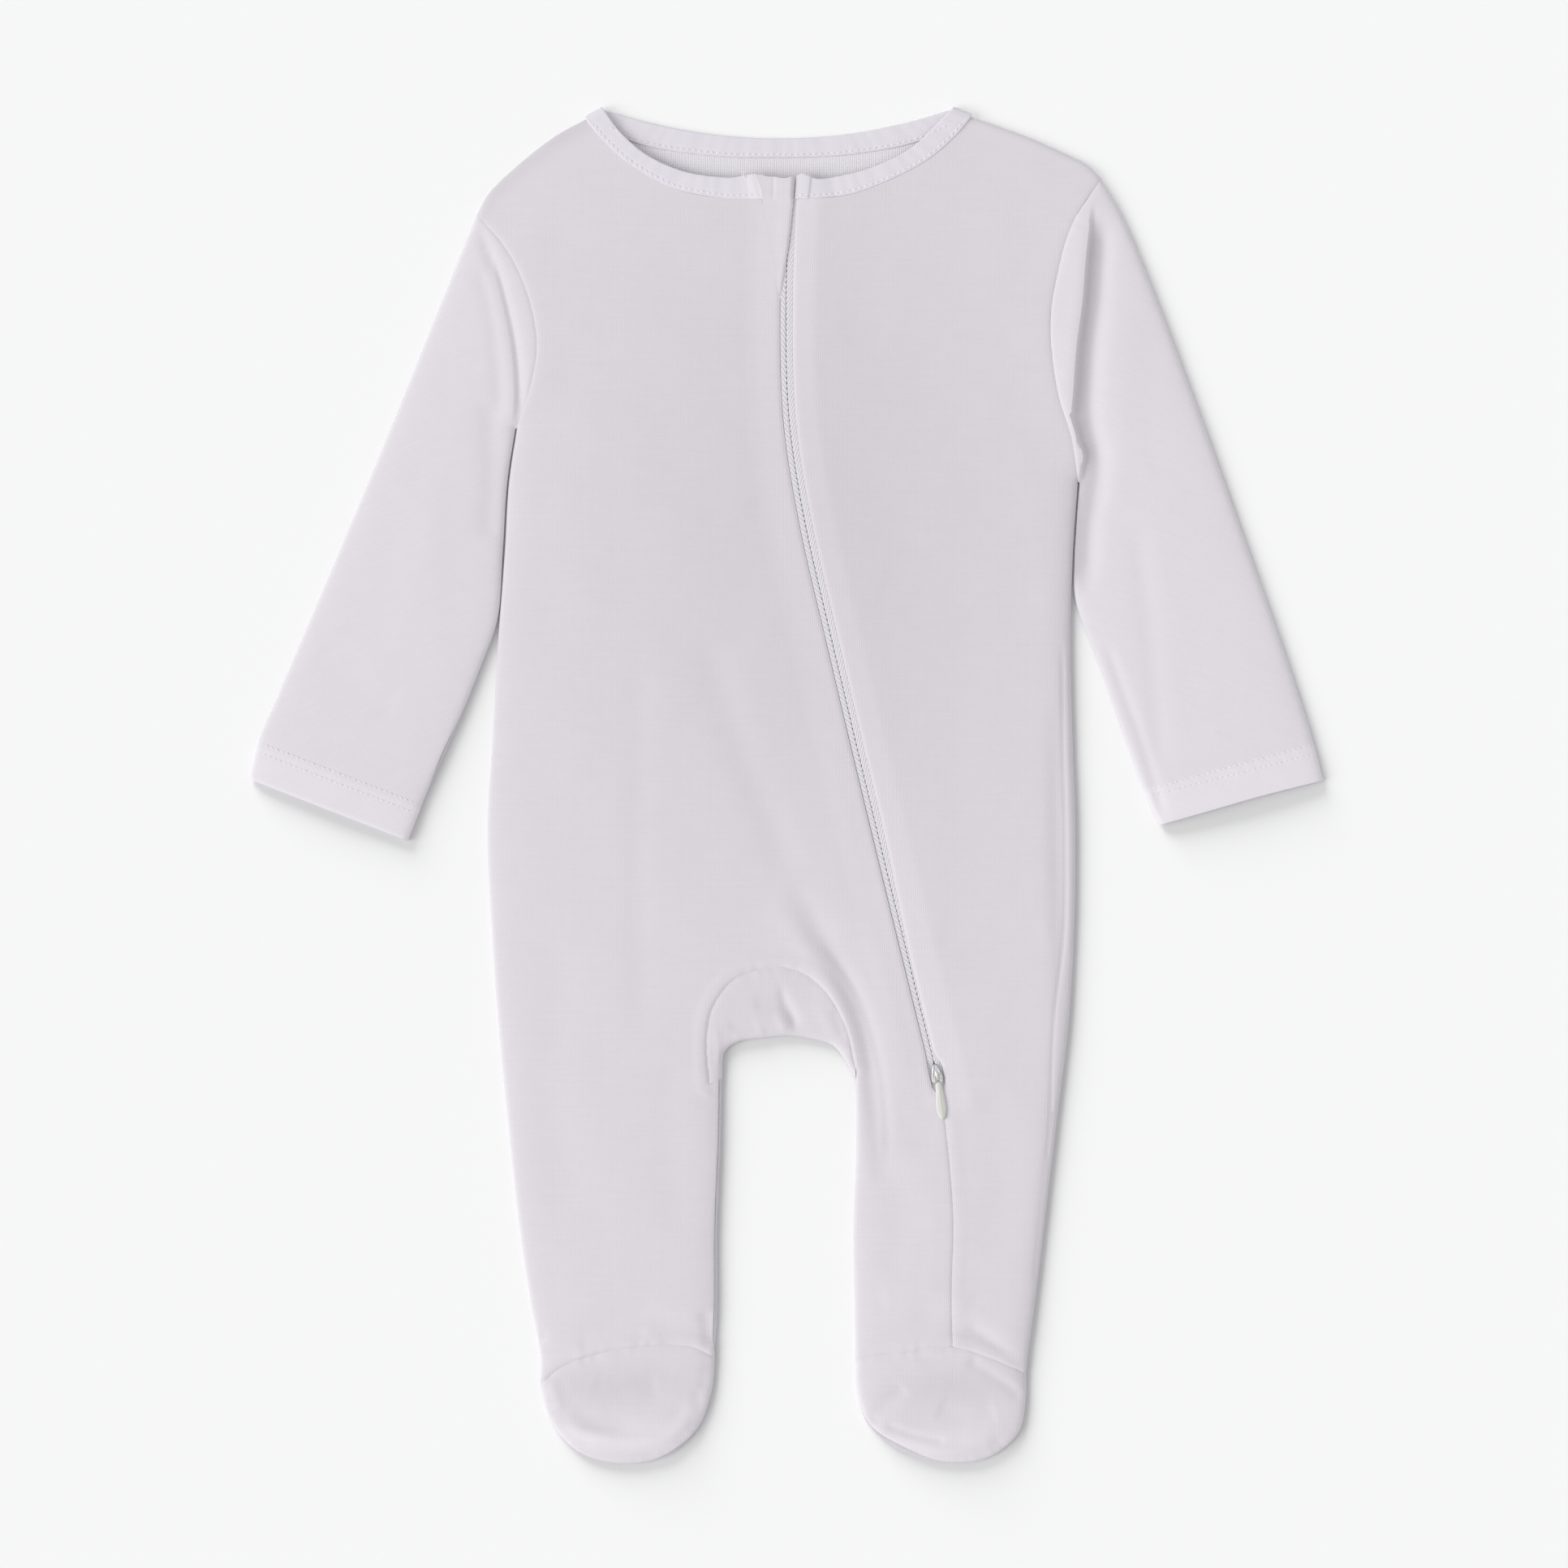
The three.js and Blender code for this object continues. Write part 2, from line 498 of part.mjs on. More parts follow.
// The cloth edge beside the zip, or the sewn line below it: the closure line moved to one side
function closureEdge(side) {
  return edge.closure.map((point, i) => {
    const before = edge.closure[Math.max(0, i - 1)];
    const after = edge.closure[Math.min(edge.closure.length - 1, i + 1)];
    const along = new THREE.Vector2(after.x - before.x, after.y - before.y).normalize();
    const open = smoothStep(zip.closesAt - 3, zip.closesAt + 3, point.y);
    const away = side * open * halfSlitAt(side, point.y);
    return { x: point.x - along.y * away, y: point.y + along.x * away };
  });
}

// The front's edges beside the zip begin at the binding's sewn edge
function closureFromNeck(side) {
  const line = closureEdge(side);
  const top = { x: line[0].x, y: neckRows.right.at(-1).sewnY };
  return [top, ...line.filter((point) => point.y < top.y - 3)];
}

const cloth = new THREE.MeshStandardMaterial({ color: 0xdedae1, roughness: 0.9, metalness: 0 });
const tapeCloth = new THREE.MeshStandardMaterial({ color: 0xdad8de, roughness: 0.75, metalness: 0 });
const metal = new THREE.MeshStandardMaterial({ color: 0xc4c4c6, roughness: 0.3, metalness: 1 });
const enamel = new THREE.MeshStandardMaterial({ color: 0xdddcd5, roughness: 0.3, metalness: 0 });

const sleepsuit = new THREE.Group();
function add(name, geometry, material) {
  const mesh = new THREE.Mesh(geometry, material.clone());
  mesh.name = name;
  sleepsuit.add(mesh);
}

// The two fronts share the closure line, and the right one also forms the inside of the left leg
function makeFronts() {
  const rightEdge = closureFromNeck(-1);
  const leftEdge = closureFromNeck(1);
  const meets = edge.ankleLeft.findIndex((point) => point.x > closureRows.at(-1).x - 3);
  add('front_right', panelGeometry({
    edges: [
      reversed(edge.neckRight), edge.shoulderRight, edge.armholeRight, edge.sideRight, edge.ankleRight,
      reversed(edge.innerRight), edge.gusset, edge.innerLeft, edge.ankleLeft.slice(0, meets),
      reversed(rightEdge),
    ],
    underside: frontUnderside,
    top: frontTop,
  }), cloth);
  add('front_left', panelGeometry({
    edges: [
      leftEdge, edge.ankleLeft.slice(meets + 1), reversed(edge.sideLeft), reversed(edge.armholeLeft),
      reversed(edge.shoulderLeft), edge.neckLeft,
    ],
    underside: frontUnderside,
    top: frontTop,
  }), cloth);
}

function makeBack() {
  add('back_panel', panelGeometry({
    edges: [
      reversed(edge.neckBack), edge.shoulderRight, edge.armholeRight, edge.sideRight, edge.heelRight,
      reversed(edge.innerRight), edge.gusset, edge.innerLeft, edge.heelLeft, reversed(edge.sideLeft),
      reversed(edge.armholeLeft), reversed(edge.shoulderLeft),
    ],
    underside: backUnderside,
    top: backTop,
    insets: [1.4],
    step: 48,
  }), cloth);
}

function makeFeet() {
  ['Right', 'Left'].forEach((side) => {
    const name = side.toLowerCase();
    add(`foot_upper_${name}`, panelGeometry({
      edges: [edge[`ankle${side}`], reversed(edge[`toe${side}`])],
      underside: frontUnderside,
      top: frontTop,
      step: 13,
    }), cloth);
    add(`foot_sole_${name}`, panelGeometry({
      edges: [edge[`heel${side}`], reversed(edge[`toe${side}`])],
      underside: backUnderside,
      top: backTop,
      insets: [1.4],
      step: 30,
    }), cloth);
  });
}

// The gusset is one strip folded round the crotch edge: each section runs from the front arch to the
// back one
function makeGusset() {
  const sections = 13;
  const arch = smoothCurve(gussetRows);
  const fold = smoothCurve(crotchRows);
  const across = [0.02, 0.45, 0.8, 0.94, 1];
  const rings = Array.from({ length: sections }, (_, j) => {
    const share = 0.012 + (0.976 * j) / (sections - 1);
    const sewn = arch.getPointAt(share);
    const folded = fold.getPointAt(share);
    const depth = Math.max(sewn.distanceTo(folded), 1);
    const at = (part, inset) => sewn.clone().lerp(folded, Math.max(seamGap / depth, part - inset / depth));
    const high = (part, inset) => {
      const { x, y } = at(part, inset);
      return inset ? [x, y, frontUnderside(x, y)] : [x, y, frontTop(x, y)];
    };
    const low = (part, inset) => {
      const { x, y } = at(part, inset);
      return inset ? [x, y, wall] : [x, y, backUnderside(x, y)];
    };
    const hidden = across.map((part) => (part < 0.5 ? 0.001 : wall * part));
    return [
      ...across.map((part) => high(part, 0)),
      ...reversed(across).map((part) => low(part, 0)),
      ...across.map((part, i) => low(part, hidden[i])),
      ...reversed(across).map((part, i) => high(part, reversed(hidden)[i])),
    ];
  });
  add('crotch_gusset', ringGeometry(rings), cloth);
}

// The neck binding runs from the zip round the back of the neck to the zip again, folded over at both
// shoulders
function makeBinding() {
  const edgesOf = (rows) => ['free', 'sewn'].map((side) => smoothCurve(rows, `${side}X`, `${side}Y`));
  const profile = [[0, 0.3], [0, 0.7], [0.09, 1], [0.91, 1], [1, 0.7], [1, 0.3], [0.91, 0], [0.09, 0]];
  const inset = 0.035;
  const bendRadius = 0.15;
  const ringAt = ([free, sewn], share, level, flip) => {
    const start = sewn.getPointAt(share);
    const end = free.getPointAt(share);
    const under = level(start.clone().lerp(end, 0.5));
    return profile.map(([across, up]) => {
      const place = start.clone().lerp(end, inset + (1 - inset) * across);
      return [place.x, place.y, under + bindingWall * (flip ? 1 - up : up)];
    });
  };
  const frontLevel = (place) => Math.max(bindingFloor, frontUnderside(place.x, place.y));
  const backLevel = () => 0;
  // At a shoulder the strip turns round the fold line, from the level of the front to that of the back
  const foldRings = ([free, sewn], share, outward) => [120, 160, 200, 240].map((degrees) => {
    const angle = THREE.MathUtils.degToRad(degrees);
    const start = sewn.getPointAt(share);
    const end = free.getPointAt(share);
    return profile.map(([across, up]) => {
      const place = start.clone().lerp(end, inset + (1 - inset) * across);
      const radius = bendRadius + bindingWall * up;
      return [
        place.x - outward.x * Math.cos(angle) * radius,
        place.y - outward.y * Math.cos(angle) * radius,
        bindingFloor - bendRadius + Math.sin(angle) * radius,
      ];
    });
  });
  const right = edgesOf(neckRows.right);
  const back = edgesOf(neckRows.back);
  const left = edgesOf(neckRows.left);
  const stations = (count, from, to) => Array.from({ length: count }, (_, i) =>
    from + ((to - from) * i) / (count - 1));
  const outwardAt = (sign) => ({ x: sign * 0.5, y: 0.86 });
  const rings = [
    ...stations(11, 1, 0.03).map((share) => ringAt(right, share, frontLevel, false)),
    ...foldRings(right, 0.01, outwardAt(-1)),
    ...stations(15, 0.02, 0.98).map((share) => ringAt(back, share, backLevel, true)),
    ...reversed(foldRings(left, 0.01, outwardAt(1))),
    ...stations(12, 0.03, 1).map((share) => ringAt(left, share, frontLevel, false)),
  ];
  add('neck_binding', ringGeometry(rings), cloth);
}

// A sleeve is a flat tube: each ring goes over its front layer and back under, from armhole to cuff
function makeSleeve(name, rows, armholeRowsOfSide, foldSections, outwardSign) {
  const lines = [rows.outer, rows.inner, rows.fold, armholeRowsOfSide];
  const [outer, inner, fold, armhole] = lines.map((list) => smoothCurve(list));
  const columnShares = (length) => {
    const near = edgeColumns.map((distance) => distance / length);
    const between = Array.from({ length: middleColumns }, (_, i) =>
      near.at(-1) + ((1 - 2 * near.at(-1)) * (i + 1)) / (middleColumns + 1));
    return [...near, ...between, ...reversed(near).map((share) => 1 - share)];
  };
  const cuffLine = (share) => outer.getPointAt(1).lerp(inner.getPointAt(1), share);
  const outerStart = armholeDepth / outer.getLength();
  const innerStart = armholeDepth / inner.getLength();
  // Lines of points across the sleeve follow the armhole first, then the fold, then the cuff
  const besideArmhole = foldSections.map((section, index) => (share) => {
    const base = index === 0 ? armhole.getPointAt(share) : fold.getPointAt(share);
    const along = index / foldSections.length;
    const bell = Math.sin(Math.PI * share);
    const outerShift = outer.getPointAt(Math.max(0.002, outerStart * along)).sub(fold.getPointAt(0));
    const innerShift = inner.getPointAt(Math.max(0.002, innerStart * along)).sub(fold.getPointAt(1));
    const place = index === 0
      ? base.add(new THREE.Vector3(outwardSign * seamGap * (1.5 + 0.7 * bell), -seamGap * (1 - share), 0))
      : base.addScaledVector(outerShift, (1 - share) ** 6).addScaledVector(innerShift, share ** 6)
        .add(new THREE.Vector3(outwardSign * section.past * bell, 0, 0));
    return { x: place.x, y: place.y, rise: section.rise * Math.min(1, 3 * bell) };
  });
  const lastFold = besideArmhole.at(-1);
  const alongSleeve = sleeveLengthRows.map((part) => (share) => {
    const start = lastFold(share);
    const end = cuffLine(share);
    const atOuter = outer.getPointAt(part);
    const atInner = inner.getPointAt(part);
    const ruled = (s) => {
      const from = lastFold(s);
      const to = cuffLine(s);
      return { x: from.x + (to.x - from.x) * part, y: from.y + (to.y - from.y) * part };
    };
    const [ruledOuter, ruledInner] = [ruled(0), ruled(1)];
    const x = start.x + (end.x - start.x) * part + (atOuter.x - ruledOuter.x) * (1 - share)
      + (atInner.x - ruledInner.x) * share;
    const y = start.y + (end.y - start.y) * part + (atOuter.y - ruledOuter.y) * (1 - share)
      + (atInner.y - ruledInner.y) * share;
    return { x, y, rise: start.rise * Math.max(0, 1 - part / foldsEndAt) };
  });
  const closedEdges = [outer, inner].map((curve) => curve.getSpacedPoints(60));
  const edgeDistance = (x, y) => Math.min(...closedEdges.map((points) =>
    nearestOnLine(points, x, y).distance));
  const rings = [];
  const hollow = [];
  [...besideArmhole, ...alongSleeve].forEach((lineAt) => {
    const [from, to] = [lineAt(0), lineAt(1)];
    const length = Math.hypot(to.x - from.x, to.y - from.y);
    const shares = columnShares(length);
    const under = (x, y, rise) => seamLevel + softRise(edgeDistance(x, y)) * 0.9 + rise;
    const outerTop = shares.map((share) => {
      const { x, y, rise } = lineAt(share);
      return [x, y, under(x, y, rise) + wall - edgeDrop(edgeDistance(x, y))];
    });
    const outerLow = reversed(shares).map((share) => {
      const { x, y } = lineAt(share);
      return [x, y, edgeDrop(edgeDistance(x, y))];
    });
    const innerShare = (share) => {
      const inset = (wall / length) * Math.exp(-Math.min(share, 1 - share) * length * 0.35);
      return share < 0.5 ? share + inset : share - inset;
    };
    const innerTop = shares.map((share) => {
      const { x, y, rise } = lineAt(innerShare(share));
      return [x, y, Math.max(wall + 0.25, under(x, y, rise))];
    });
    const innerLow = reversed(shares).map((share) => {
      const { x, y } = lineAt(innerShare(share));
      return [x, y, wall];
    });
    rings.push([...outerTop, ...outerLow]);
    hollow.push([...innerTop, ...innerLow]);
  });
  add(name, ringGeometry(rings, hollow), cloth);
}

// A tape lies under each cloth edge of the zip and meets the other tape at the closure line
function makeTapes() {
  const line = edge.closure.filter((point) => point.y > zip.endsAt);
  const middle = 0.5 * zip.tapeWidth;
  [[-1, 'zip_tape_right'], [1, 'zip_tape_left']].forEach(([side, name]) => {
    const rings = line.map((point, i) => {
      const before = line[Math.max(0, i - 1)];
      const after = line[Math.min(line.length - 1, i + 1)];
      const along = new THREE.Vector2(after.x - before.x, after.y - before.y).normalize();
      const atPost = (slider.post / 2 + seamGap) * Math.exp(-(((point.y - zip.sliderAt) / 7) ** 4));
      const start = seamGap / 2 + atPost;
      const places = [start, middle, zip.tapeWidth].map((away) => {
        const x = point.x - along.y * side * away;
        const y = point.y + along.x * side * away;
        return { x, y, high: frontUnderside(x, y) - zip.tapeClearance };
      });
      return [
        ...places.map(({ x, y, high }) => [x, y, high]),
        ...reversed(places).map(({ x, y, high }) => [x, y, high - zip.tapeWall]),
      ];
    });
    add(name, ringGeometry(rings), tapeCloth);
  });
}

// The guard covers the top of the zip and tapers down beside it
function makeGuard() {
  const lift = wall + seamGap + 0.1;
  const bindingSeamY = 241;
  const across = [0, 0.33, 0.67, 1];
  const free = smoothCurve(guardRows.free);
  const sewn = smoothCurve(guardRows.sewn);
  const rings = Array.from({ length: 10 }, (_, j) => (0.97 * j) / 9).map((share) => {
    const places = across.map((part) => sewn.getPointAt(share).lerp(free.getPointAt(share), part));
    const level = places.map(({ x, y }) => frontUnderside(x, Math.min(y, bindingSeamY)) + lift);
    return [
      ...places.map(({ x, y }, i) => [x, y, level[i] + wall]),
      ...reversed(places.map(({ x, y }, i) => [x, y, level[i]])),
    ];
  });
  add('zip_guard', ringGeometry(rings), cloth);
}

function asSolid(geometry) {
  const bare = geometry.clone();
  bare.deleteAttribute('normal');
  bare.deleteAttribute('uv');
  const merged = mergeVertices(bare, 1e-4);
  return new wasm.Manifold(new wasm.Mesh({
    numProp: 3,
    vertProperties: new Float32Array(merged.attributes.position.array),
    triVerts: new Uint32Array(merged.index.array),
  }));
}

function asGeometry(solid) {
  const mesh = solid.getMesh();
  const made = new THREE.BufferGeometry();
  made.setAttribute('position', new THREE.BufferAttribute(new Float32Array(mesh.vertProperties), 3));
  made.setIndex(new THREE.BufferAttribute(new Uint32Array(mesh.triVerts), 1));
  made.computeVertexNormals();
  return made;
}

function plateSolid(outlinePoints, thickness, level) {
  const shape = new THREE.Shape(outlinePoints.map(([x, y]) => new THREE.Vector2(x, y)));
  const made = new THREE.ExtrudeGeometry(shape, { depth: thickness, bevelEnabled: false });
  return asSolid(made.translate(0, 0, level));
}

function boxSolid(sizeX, sizeY, sizeZ, x, y, z) {
  return asSolid(new THREE.BoxGeometry(sizeX, sizeY, sizeZ).translate(x, y, z));
}

// Slider and pull are made with the zip running along Y and the pull pointing to -Y, then turned into place
function makeSliderAndPull() {
  const at = nearestOnClosure(zip.sliderAt);
  const frame = new THREE.Group();
  const tapeTop = frontUnderside(at.x, at.y) - zip.tapeClearance;
  frame.position.set(at.x, at.y, tapeTop + seamGap);
  frame.rotation.z = Math.atan2(at.dy, at.dx) + Math.PI / 2;
  const half = slider.length / 2;
  const rightHalf = [
    [slider.noseWidth / 2 - slider.corner, -half],
    [slider.noseWidth / 2, -half + slider.noseSlope],
    [slider.noseWidth / 2, slider.waistAt],
    [slider.tailWidth / 2, half - slider.tailSlope],
    [slider.tailWidth / 2 - slider.corner, half],
  ];
  const outline = [...rightHalf, ...mirrored(rightHalf)];
  const tapeGap = zip.tapeWall + 2 * seamGap;
  const postHeight = tapeGap + slider.plate;
  const bridgeTop = slider.plate + slider.tunnelHeight + slider.bridgeWall;
  const tunnelLength = 2 * (slider.bridgeHalfLength - slider.bridgeFoot);
  const pivot = slider.plate + slider.tunnelHeight / 2;
  const body = plateSolid(outline, slider.plate, 0)
    .add(plateSolid(outline, slider.lowPlate, -tapeGap - slider.lowPlate))
    .add(boxSolid(slider.post, slider.postLength, postHeight, 0, slider.postAt, -tapeGap / 2))
    .add(boxSolid(slider.bridgeWidth, 2 * slider.bridgeHalfLength, bridgeTop, 0, 0, bridgeTop / 2))
    .subtract(boxSolid(2 * slider.noseWidth, tunnelLength, slider.tunnelHeight, 0, 0, pivot));
  const sliderMesh = new THREE.Mesh(asGeometry(body), metal);
  sliderMesh.name = 'zip_slider';

  const armX = pull.armGap + pull.armWidth / 2;
  const barLength = 2 * pull.armGap + pull.armWidth / 2;
  const bar = asSolid(new THREE.CylinderGeometry(pull.bar / 2, pull.bar / 2, barLength, 12)
    .rotateZ(Math.PI / 2).translate(0, 0, pivot));
  const drop = [];
  for (let i = 0; i <= pull.outlineSteps; i += 1) {
    const share = i / pull.outlineSteps;
    const past = Math.max(0, (share - pull.widestShare) / (1 - pull.widestShare));
    const widening = Math.sin((Math.min(share / pull.widestShare, 1) * Math.PI) / 2) ** 2;
    const fullWidth = THREE.MathUtils.lerp(pull.neckWidth, pull.width, widening);
    const halfWidth = (fullWidth / 2) * Math.sqrt(Math.max(0.04, 1 - past ** 2));
    drop.push([halfWidth, -pull.armLength - share * (pull.length - pull.armLength)]);
  }
  const plateLevel = pivot - pull.thickness / 2 + pull.plateLift;
  const armOverlap = 1;
  const arm = (sign) => boxSolid(pull.armWidth, pull.armLength + armOverlap, pull.bar, sign * armX,
    (pull.bar - pull.armLength - armOverlap) / 2, pivot);
  const tab = bar.add(arm(1)).add(arm(-1))
    .add(plateSolid([...drop, ...mirrored(drop)], pull.thickness, plateLevel));
  const pullMesh = new THREE.Mesh(asGeometry(tab), enamel);
  pullMesh.name = 'zip_pull';
  frame.add(sliderMesh, pullMesh);
  sleepsuit.add(frame);
}

// The other half of an outline that is the same on both sides of X = 0
function mirrored(half) {
  return reversed(half).map(([x, y]) => [-x, y]);
}

function nearestOnClosure(level) {
  const index = edge.closure.findIndex((point) => point.y < level);
  const [a, b] = [edge.closure[index - 1], edge.closure[index]];
  const part = (level - a.y) / (b.y - a.y);
  return { x: a.x + (b.x - a.x) * part, y: level, dx: b.x - a.x, dy: b.y - a.y };
}

makeBack();
makeFronts();
makeGusset();
makeFeet();
makeSleeve('sleeve_right', sleeveRows.right, armholeRows.right, sleeveFoldSections.right, -1);
makeSleeve('sleeve_left', sleeveRows.left, armholeRows.left, sleeveFoldSections.left, 1);
makeBinding();
makeTapes();
makeGuard();
makeSliderAndPull();

export default sleepsuit;
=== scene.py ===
import math

import bmesh
import bpy
import numpy as np
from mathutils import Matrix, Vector
from mathutils.geometry import delaunay_2d_cdt
from mathutils.kdtree import KDTree


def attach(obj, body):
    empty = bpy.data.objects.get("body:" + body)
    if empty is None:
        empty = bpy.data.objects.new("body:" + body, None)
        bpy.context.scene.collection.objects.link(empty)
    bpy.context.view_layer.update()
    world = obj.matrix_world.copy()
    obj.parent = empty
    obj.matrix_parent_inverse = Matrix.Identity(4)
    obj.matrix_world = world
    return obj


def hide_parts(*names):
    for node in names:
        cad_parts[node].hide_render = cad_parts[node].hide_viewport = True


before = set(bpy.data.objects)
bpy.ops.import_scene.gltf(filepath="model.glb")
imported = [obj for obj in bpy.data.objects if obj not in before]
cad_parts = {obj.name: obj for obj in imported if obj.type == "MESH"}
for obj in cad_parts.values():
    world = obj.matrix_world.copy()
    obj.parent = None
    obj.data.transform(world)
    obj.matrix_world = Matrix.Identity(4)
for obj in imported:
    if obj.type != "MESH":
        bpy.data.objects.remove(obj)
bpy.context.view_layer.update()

MM = 0.001

# Cloth and gaps, in millimetres, as in the solids
WALL = 1.2
SEAM_LEVEL = 1.5
FIRST_RISE = (1.0, 3.0)
SLOW_RISE = (1.2, 26.0)
EDGE_RADIUS = 2.2
TOP_EDGE_SHARE = 0.62
LOW_EDGE_SHARE = 0.5
BINDING_WALL = 1.8
FRONT_BINDING_WALL = 1.45
BINDING_FLOOR = 2.1
NECK_TOP_Y = 241

# The zip
HALF_SLIT = 2.6
HALF_SLIT_LOW_LEFT = 0.7
LEFT_NARROWS = (-78, -11)
HALF_SLIT_AT_SLIDER = 3.1
SLIDER_REACH = 6.5
TAPE_WIDTH = 10.5
TAPE_WALL = 1.0
TAPE_CLEARANCE = 0.45
TAPE_STEP = 0.2125
TAPE_BULGE = 1.32
TAPE_BULGE_FALL = 0.3
TAPE_SUNK = {-1: 0.3, 1: 0.06}
CHAIN_PERIOD = 2.2
CHAIN_DASH = 0.15
POST_HALF_WIDTH, POST_REACH = 1.05, 3.9
CLEAR_OF_SLIDER = 5.4
ZIP_RIDGE = 0.6
ZIP_RIDGE_HALF = 14.0
ZIP_RIDGE_EASE = 4
SLIDER_Y = -119.0
ZIP_ENDS_Y = -134.0
ZIP_CLOSES_Y = -127.0

# Rows of points in millimetres, each row (x, y), shared with the solids
BODY_SIDES = [  # y, wearer's right, wearer's left
    (125, -114.4, 120.2), (96, -116.2, 118.2), (60, -118.9, 117.2), (20, -121.1, 118.0),
    (-18, -123.3, 119.2), (-58, -121.6, 118.7), (-98, -118.8, 116.4), (-138, -114.9, 111.6),
    (-178, -110.6, 106.8), (-210, -106.0, 103.0), (-237, -101.2, 99.4)]
LEG_SIDES = [  # y, inner edge of the right leg, of the left leg
    (-121, -26.6, 28.6), (-150, -27.2, 28.8), (-185, -28.6, 27.6), (-212, -28.6, 28.1), (-236, -29.5, 28.5)]
UNDERARM_R = (-111.2, 147)
UNDERARM_L = (120.2, 125)
SHOULDER_R = [(-83, 274.3), (-96, 267), (-113, 253.5), (-123, 243.5), (-127.6, 235)]
SHOULDER_L = [(76.4, 275.4), (99.5, 267), (115, 260.2), (125, 255), (129.6, 250.2)]
ARMHOLE_R = [(-127.6, 235), (-115.6, 221), (-106.5, 202), (-102.8, 181.5), (-105.5, 164), UNDERARM_R]
ARMHOLE_L = [(129.6, 250.2), (118.2, 232), (111.9, 212), (108.6, 190), (112, 161), (117.5, 143), UNDERARM_L]
NECK_RIGHT = [  # free x, free y, sewn x, sewn y
    (-75.5, 278.6, -83, 274.3), (-69, 269.6, -74.4, 264.3), (-58, 259.8, -64, 255.3),
    (-42, 252.6, -46, 245.5), (-26, 250.2, -28, 241.8), (-12.4, 250.4, -12, 241.3)]
NECK_BACK = [
    (-75.5, 278.6, -83, 274.3), (-57.3, 273.2, -62.3, 264.6), (-30, 268.2, -33, 259.5), (-3, 266.6, -3, 258.5),
    (24, 268.2, 27, 259.9), (50, 273.2, 55.5, 265.5), (68.3, 278.6, 76.4, 275.4)]
NECK_LEFT = [
    (68.3, 278.6, 76.4, 275.4), (60.3, 270.6, 69.3, 266.9), (51.2, 262.2, 58, 257.3),
    (37, 255, 41, 248.4), (24, 251.2, 26, 243), (12.4, 249.6, 12, 241.4), (4.7, 249.3, 4.7, 241.2)]
CLOSURE = [(1.6, 249.5), (0, 205), (0.3, 164), (2.3, 140), (8.4, 104.5), (18.8, 59.3), (31.5, 5.4), (41.5, -36),
           (53.5, -85), (61.2, -116.6), (64.2, -131), (67.3, -158), (68.7, -180), (68, -208), (68.4, -231.6)]
GUSSET = [(-31.8, -123.3), (-32.8, -105), (-30.5, -92.1), (-22, -80.6), (-8.7, -75.7), (4, -76.4),
          (15.1, -84.1), (24.1, -99.1), (28.4, -116.5)]
CROTCH = [(-26.6, -121), (-25.4, -110), (-20, -106), (-9, -104.3), (2, -103.5), (12, -105.1), (19.5, -107.8),
          (28.6, -121)]
ANKLE_R = [(-101.6, -247), (-91.4, -239.3), (-74.4, -233.4), (-54.3, -230.8), (-39, -231.6), (-29.5, -236)]
ANKLE_L = [(28.5, -236), (52.6, -233), (68.4, -231.6), (83.4, -236), (98.9, -243)]
HEEL_R = [(-101.6, -247), (-85, -240), (-65, -236.8), (-46, -237), (-29.5, -236)]
HEEL_L = [(28.5, -236), (45, -238), (64, -237.4), (83, -239), (98.9, -243)]
TOE_R = [(-101.6, -247), (-98, -261), (-85.5, -276), (-67, -280), (-48, -276), (-35.8, -264), (-30.5, -248),
         (-29.5, -236)]
TOE_L = [(28.5, -236), (28.9, -249), (33, -262.5), (45, -273.5), (64, -279.3), (82, -278), (95.5, -267.5),
         (98.6, -254), (98.9, -243)]
GUARD_FREE = [(3.6, 250.8), (2.8, 240), (1.4, 226), (-0.5, 212), (-2.6, 199.5)]
GUARD_TUCKED = [(-2.6, 199.5), (-6.1, 216), (-8.7, 230), (-9.7, 238), (-10, 242), (-11.2, 247.2), (-12.6, 250.6)]
GUARD_TOP = [(-12.6, 250.6), (-10.4, 251.1), (-8.2, 250.3), (-5.6, 250.2), (-0.5, 249.6), (3.6, 250.8)]
SLEEVE_R_OUTER = [(-127.6, 235), (-143, 197), (-164.8, 143), (-187.2, 89.4), (-210, 36), (-217.8, 17.4),
                  (-221.4, 2.3)]
SLEEVE_R_INNER = [(-111.8, 146.6), (-115.1, 125), (-117, 96), (-119.2, 68), (-125.9, 49.2), (-136.7, 22.4),
                  (-148.7, -4.4), (-156.1, -23.1)]
SLEEVE_R_FOLD = [(-127.2, 232), (-119.5, 210), (-112.8, 184), (-110.2, 160), (-111.4, 143)]
SLEEVE_L_OUTER = [(129.6, 250.2), (137.3, 237), (148.5, 211), (169, 157), (188.4, 103), (207.3, 49.2),
                  (217.4, 17.4), (221.4, 1.7)]
SLEEVE_L_INNER = [(120.9, 124.6), (119.7, 108), (118.8, 92), (119.2, 76.5), (128.9, 49.2), (138.3, 22.4),
                  (148.4, -4.4), (154, -16.5)]

SLEEVE_L_PLEAT = [(121.5, 74), (122.4, 92), (123.4, 108), (125.8, 122), (126.4, 135), (124, 146), (123, 156),
                  (123.4, 166), (124.6, 182), (126.8, 200), (128, 216), (130, 238)]

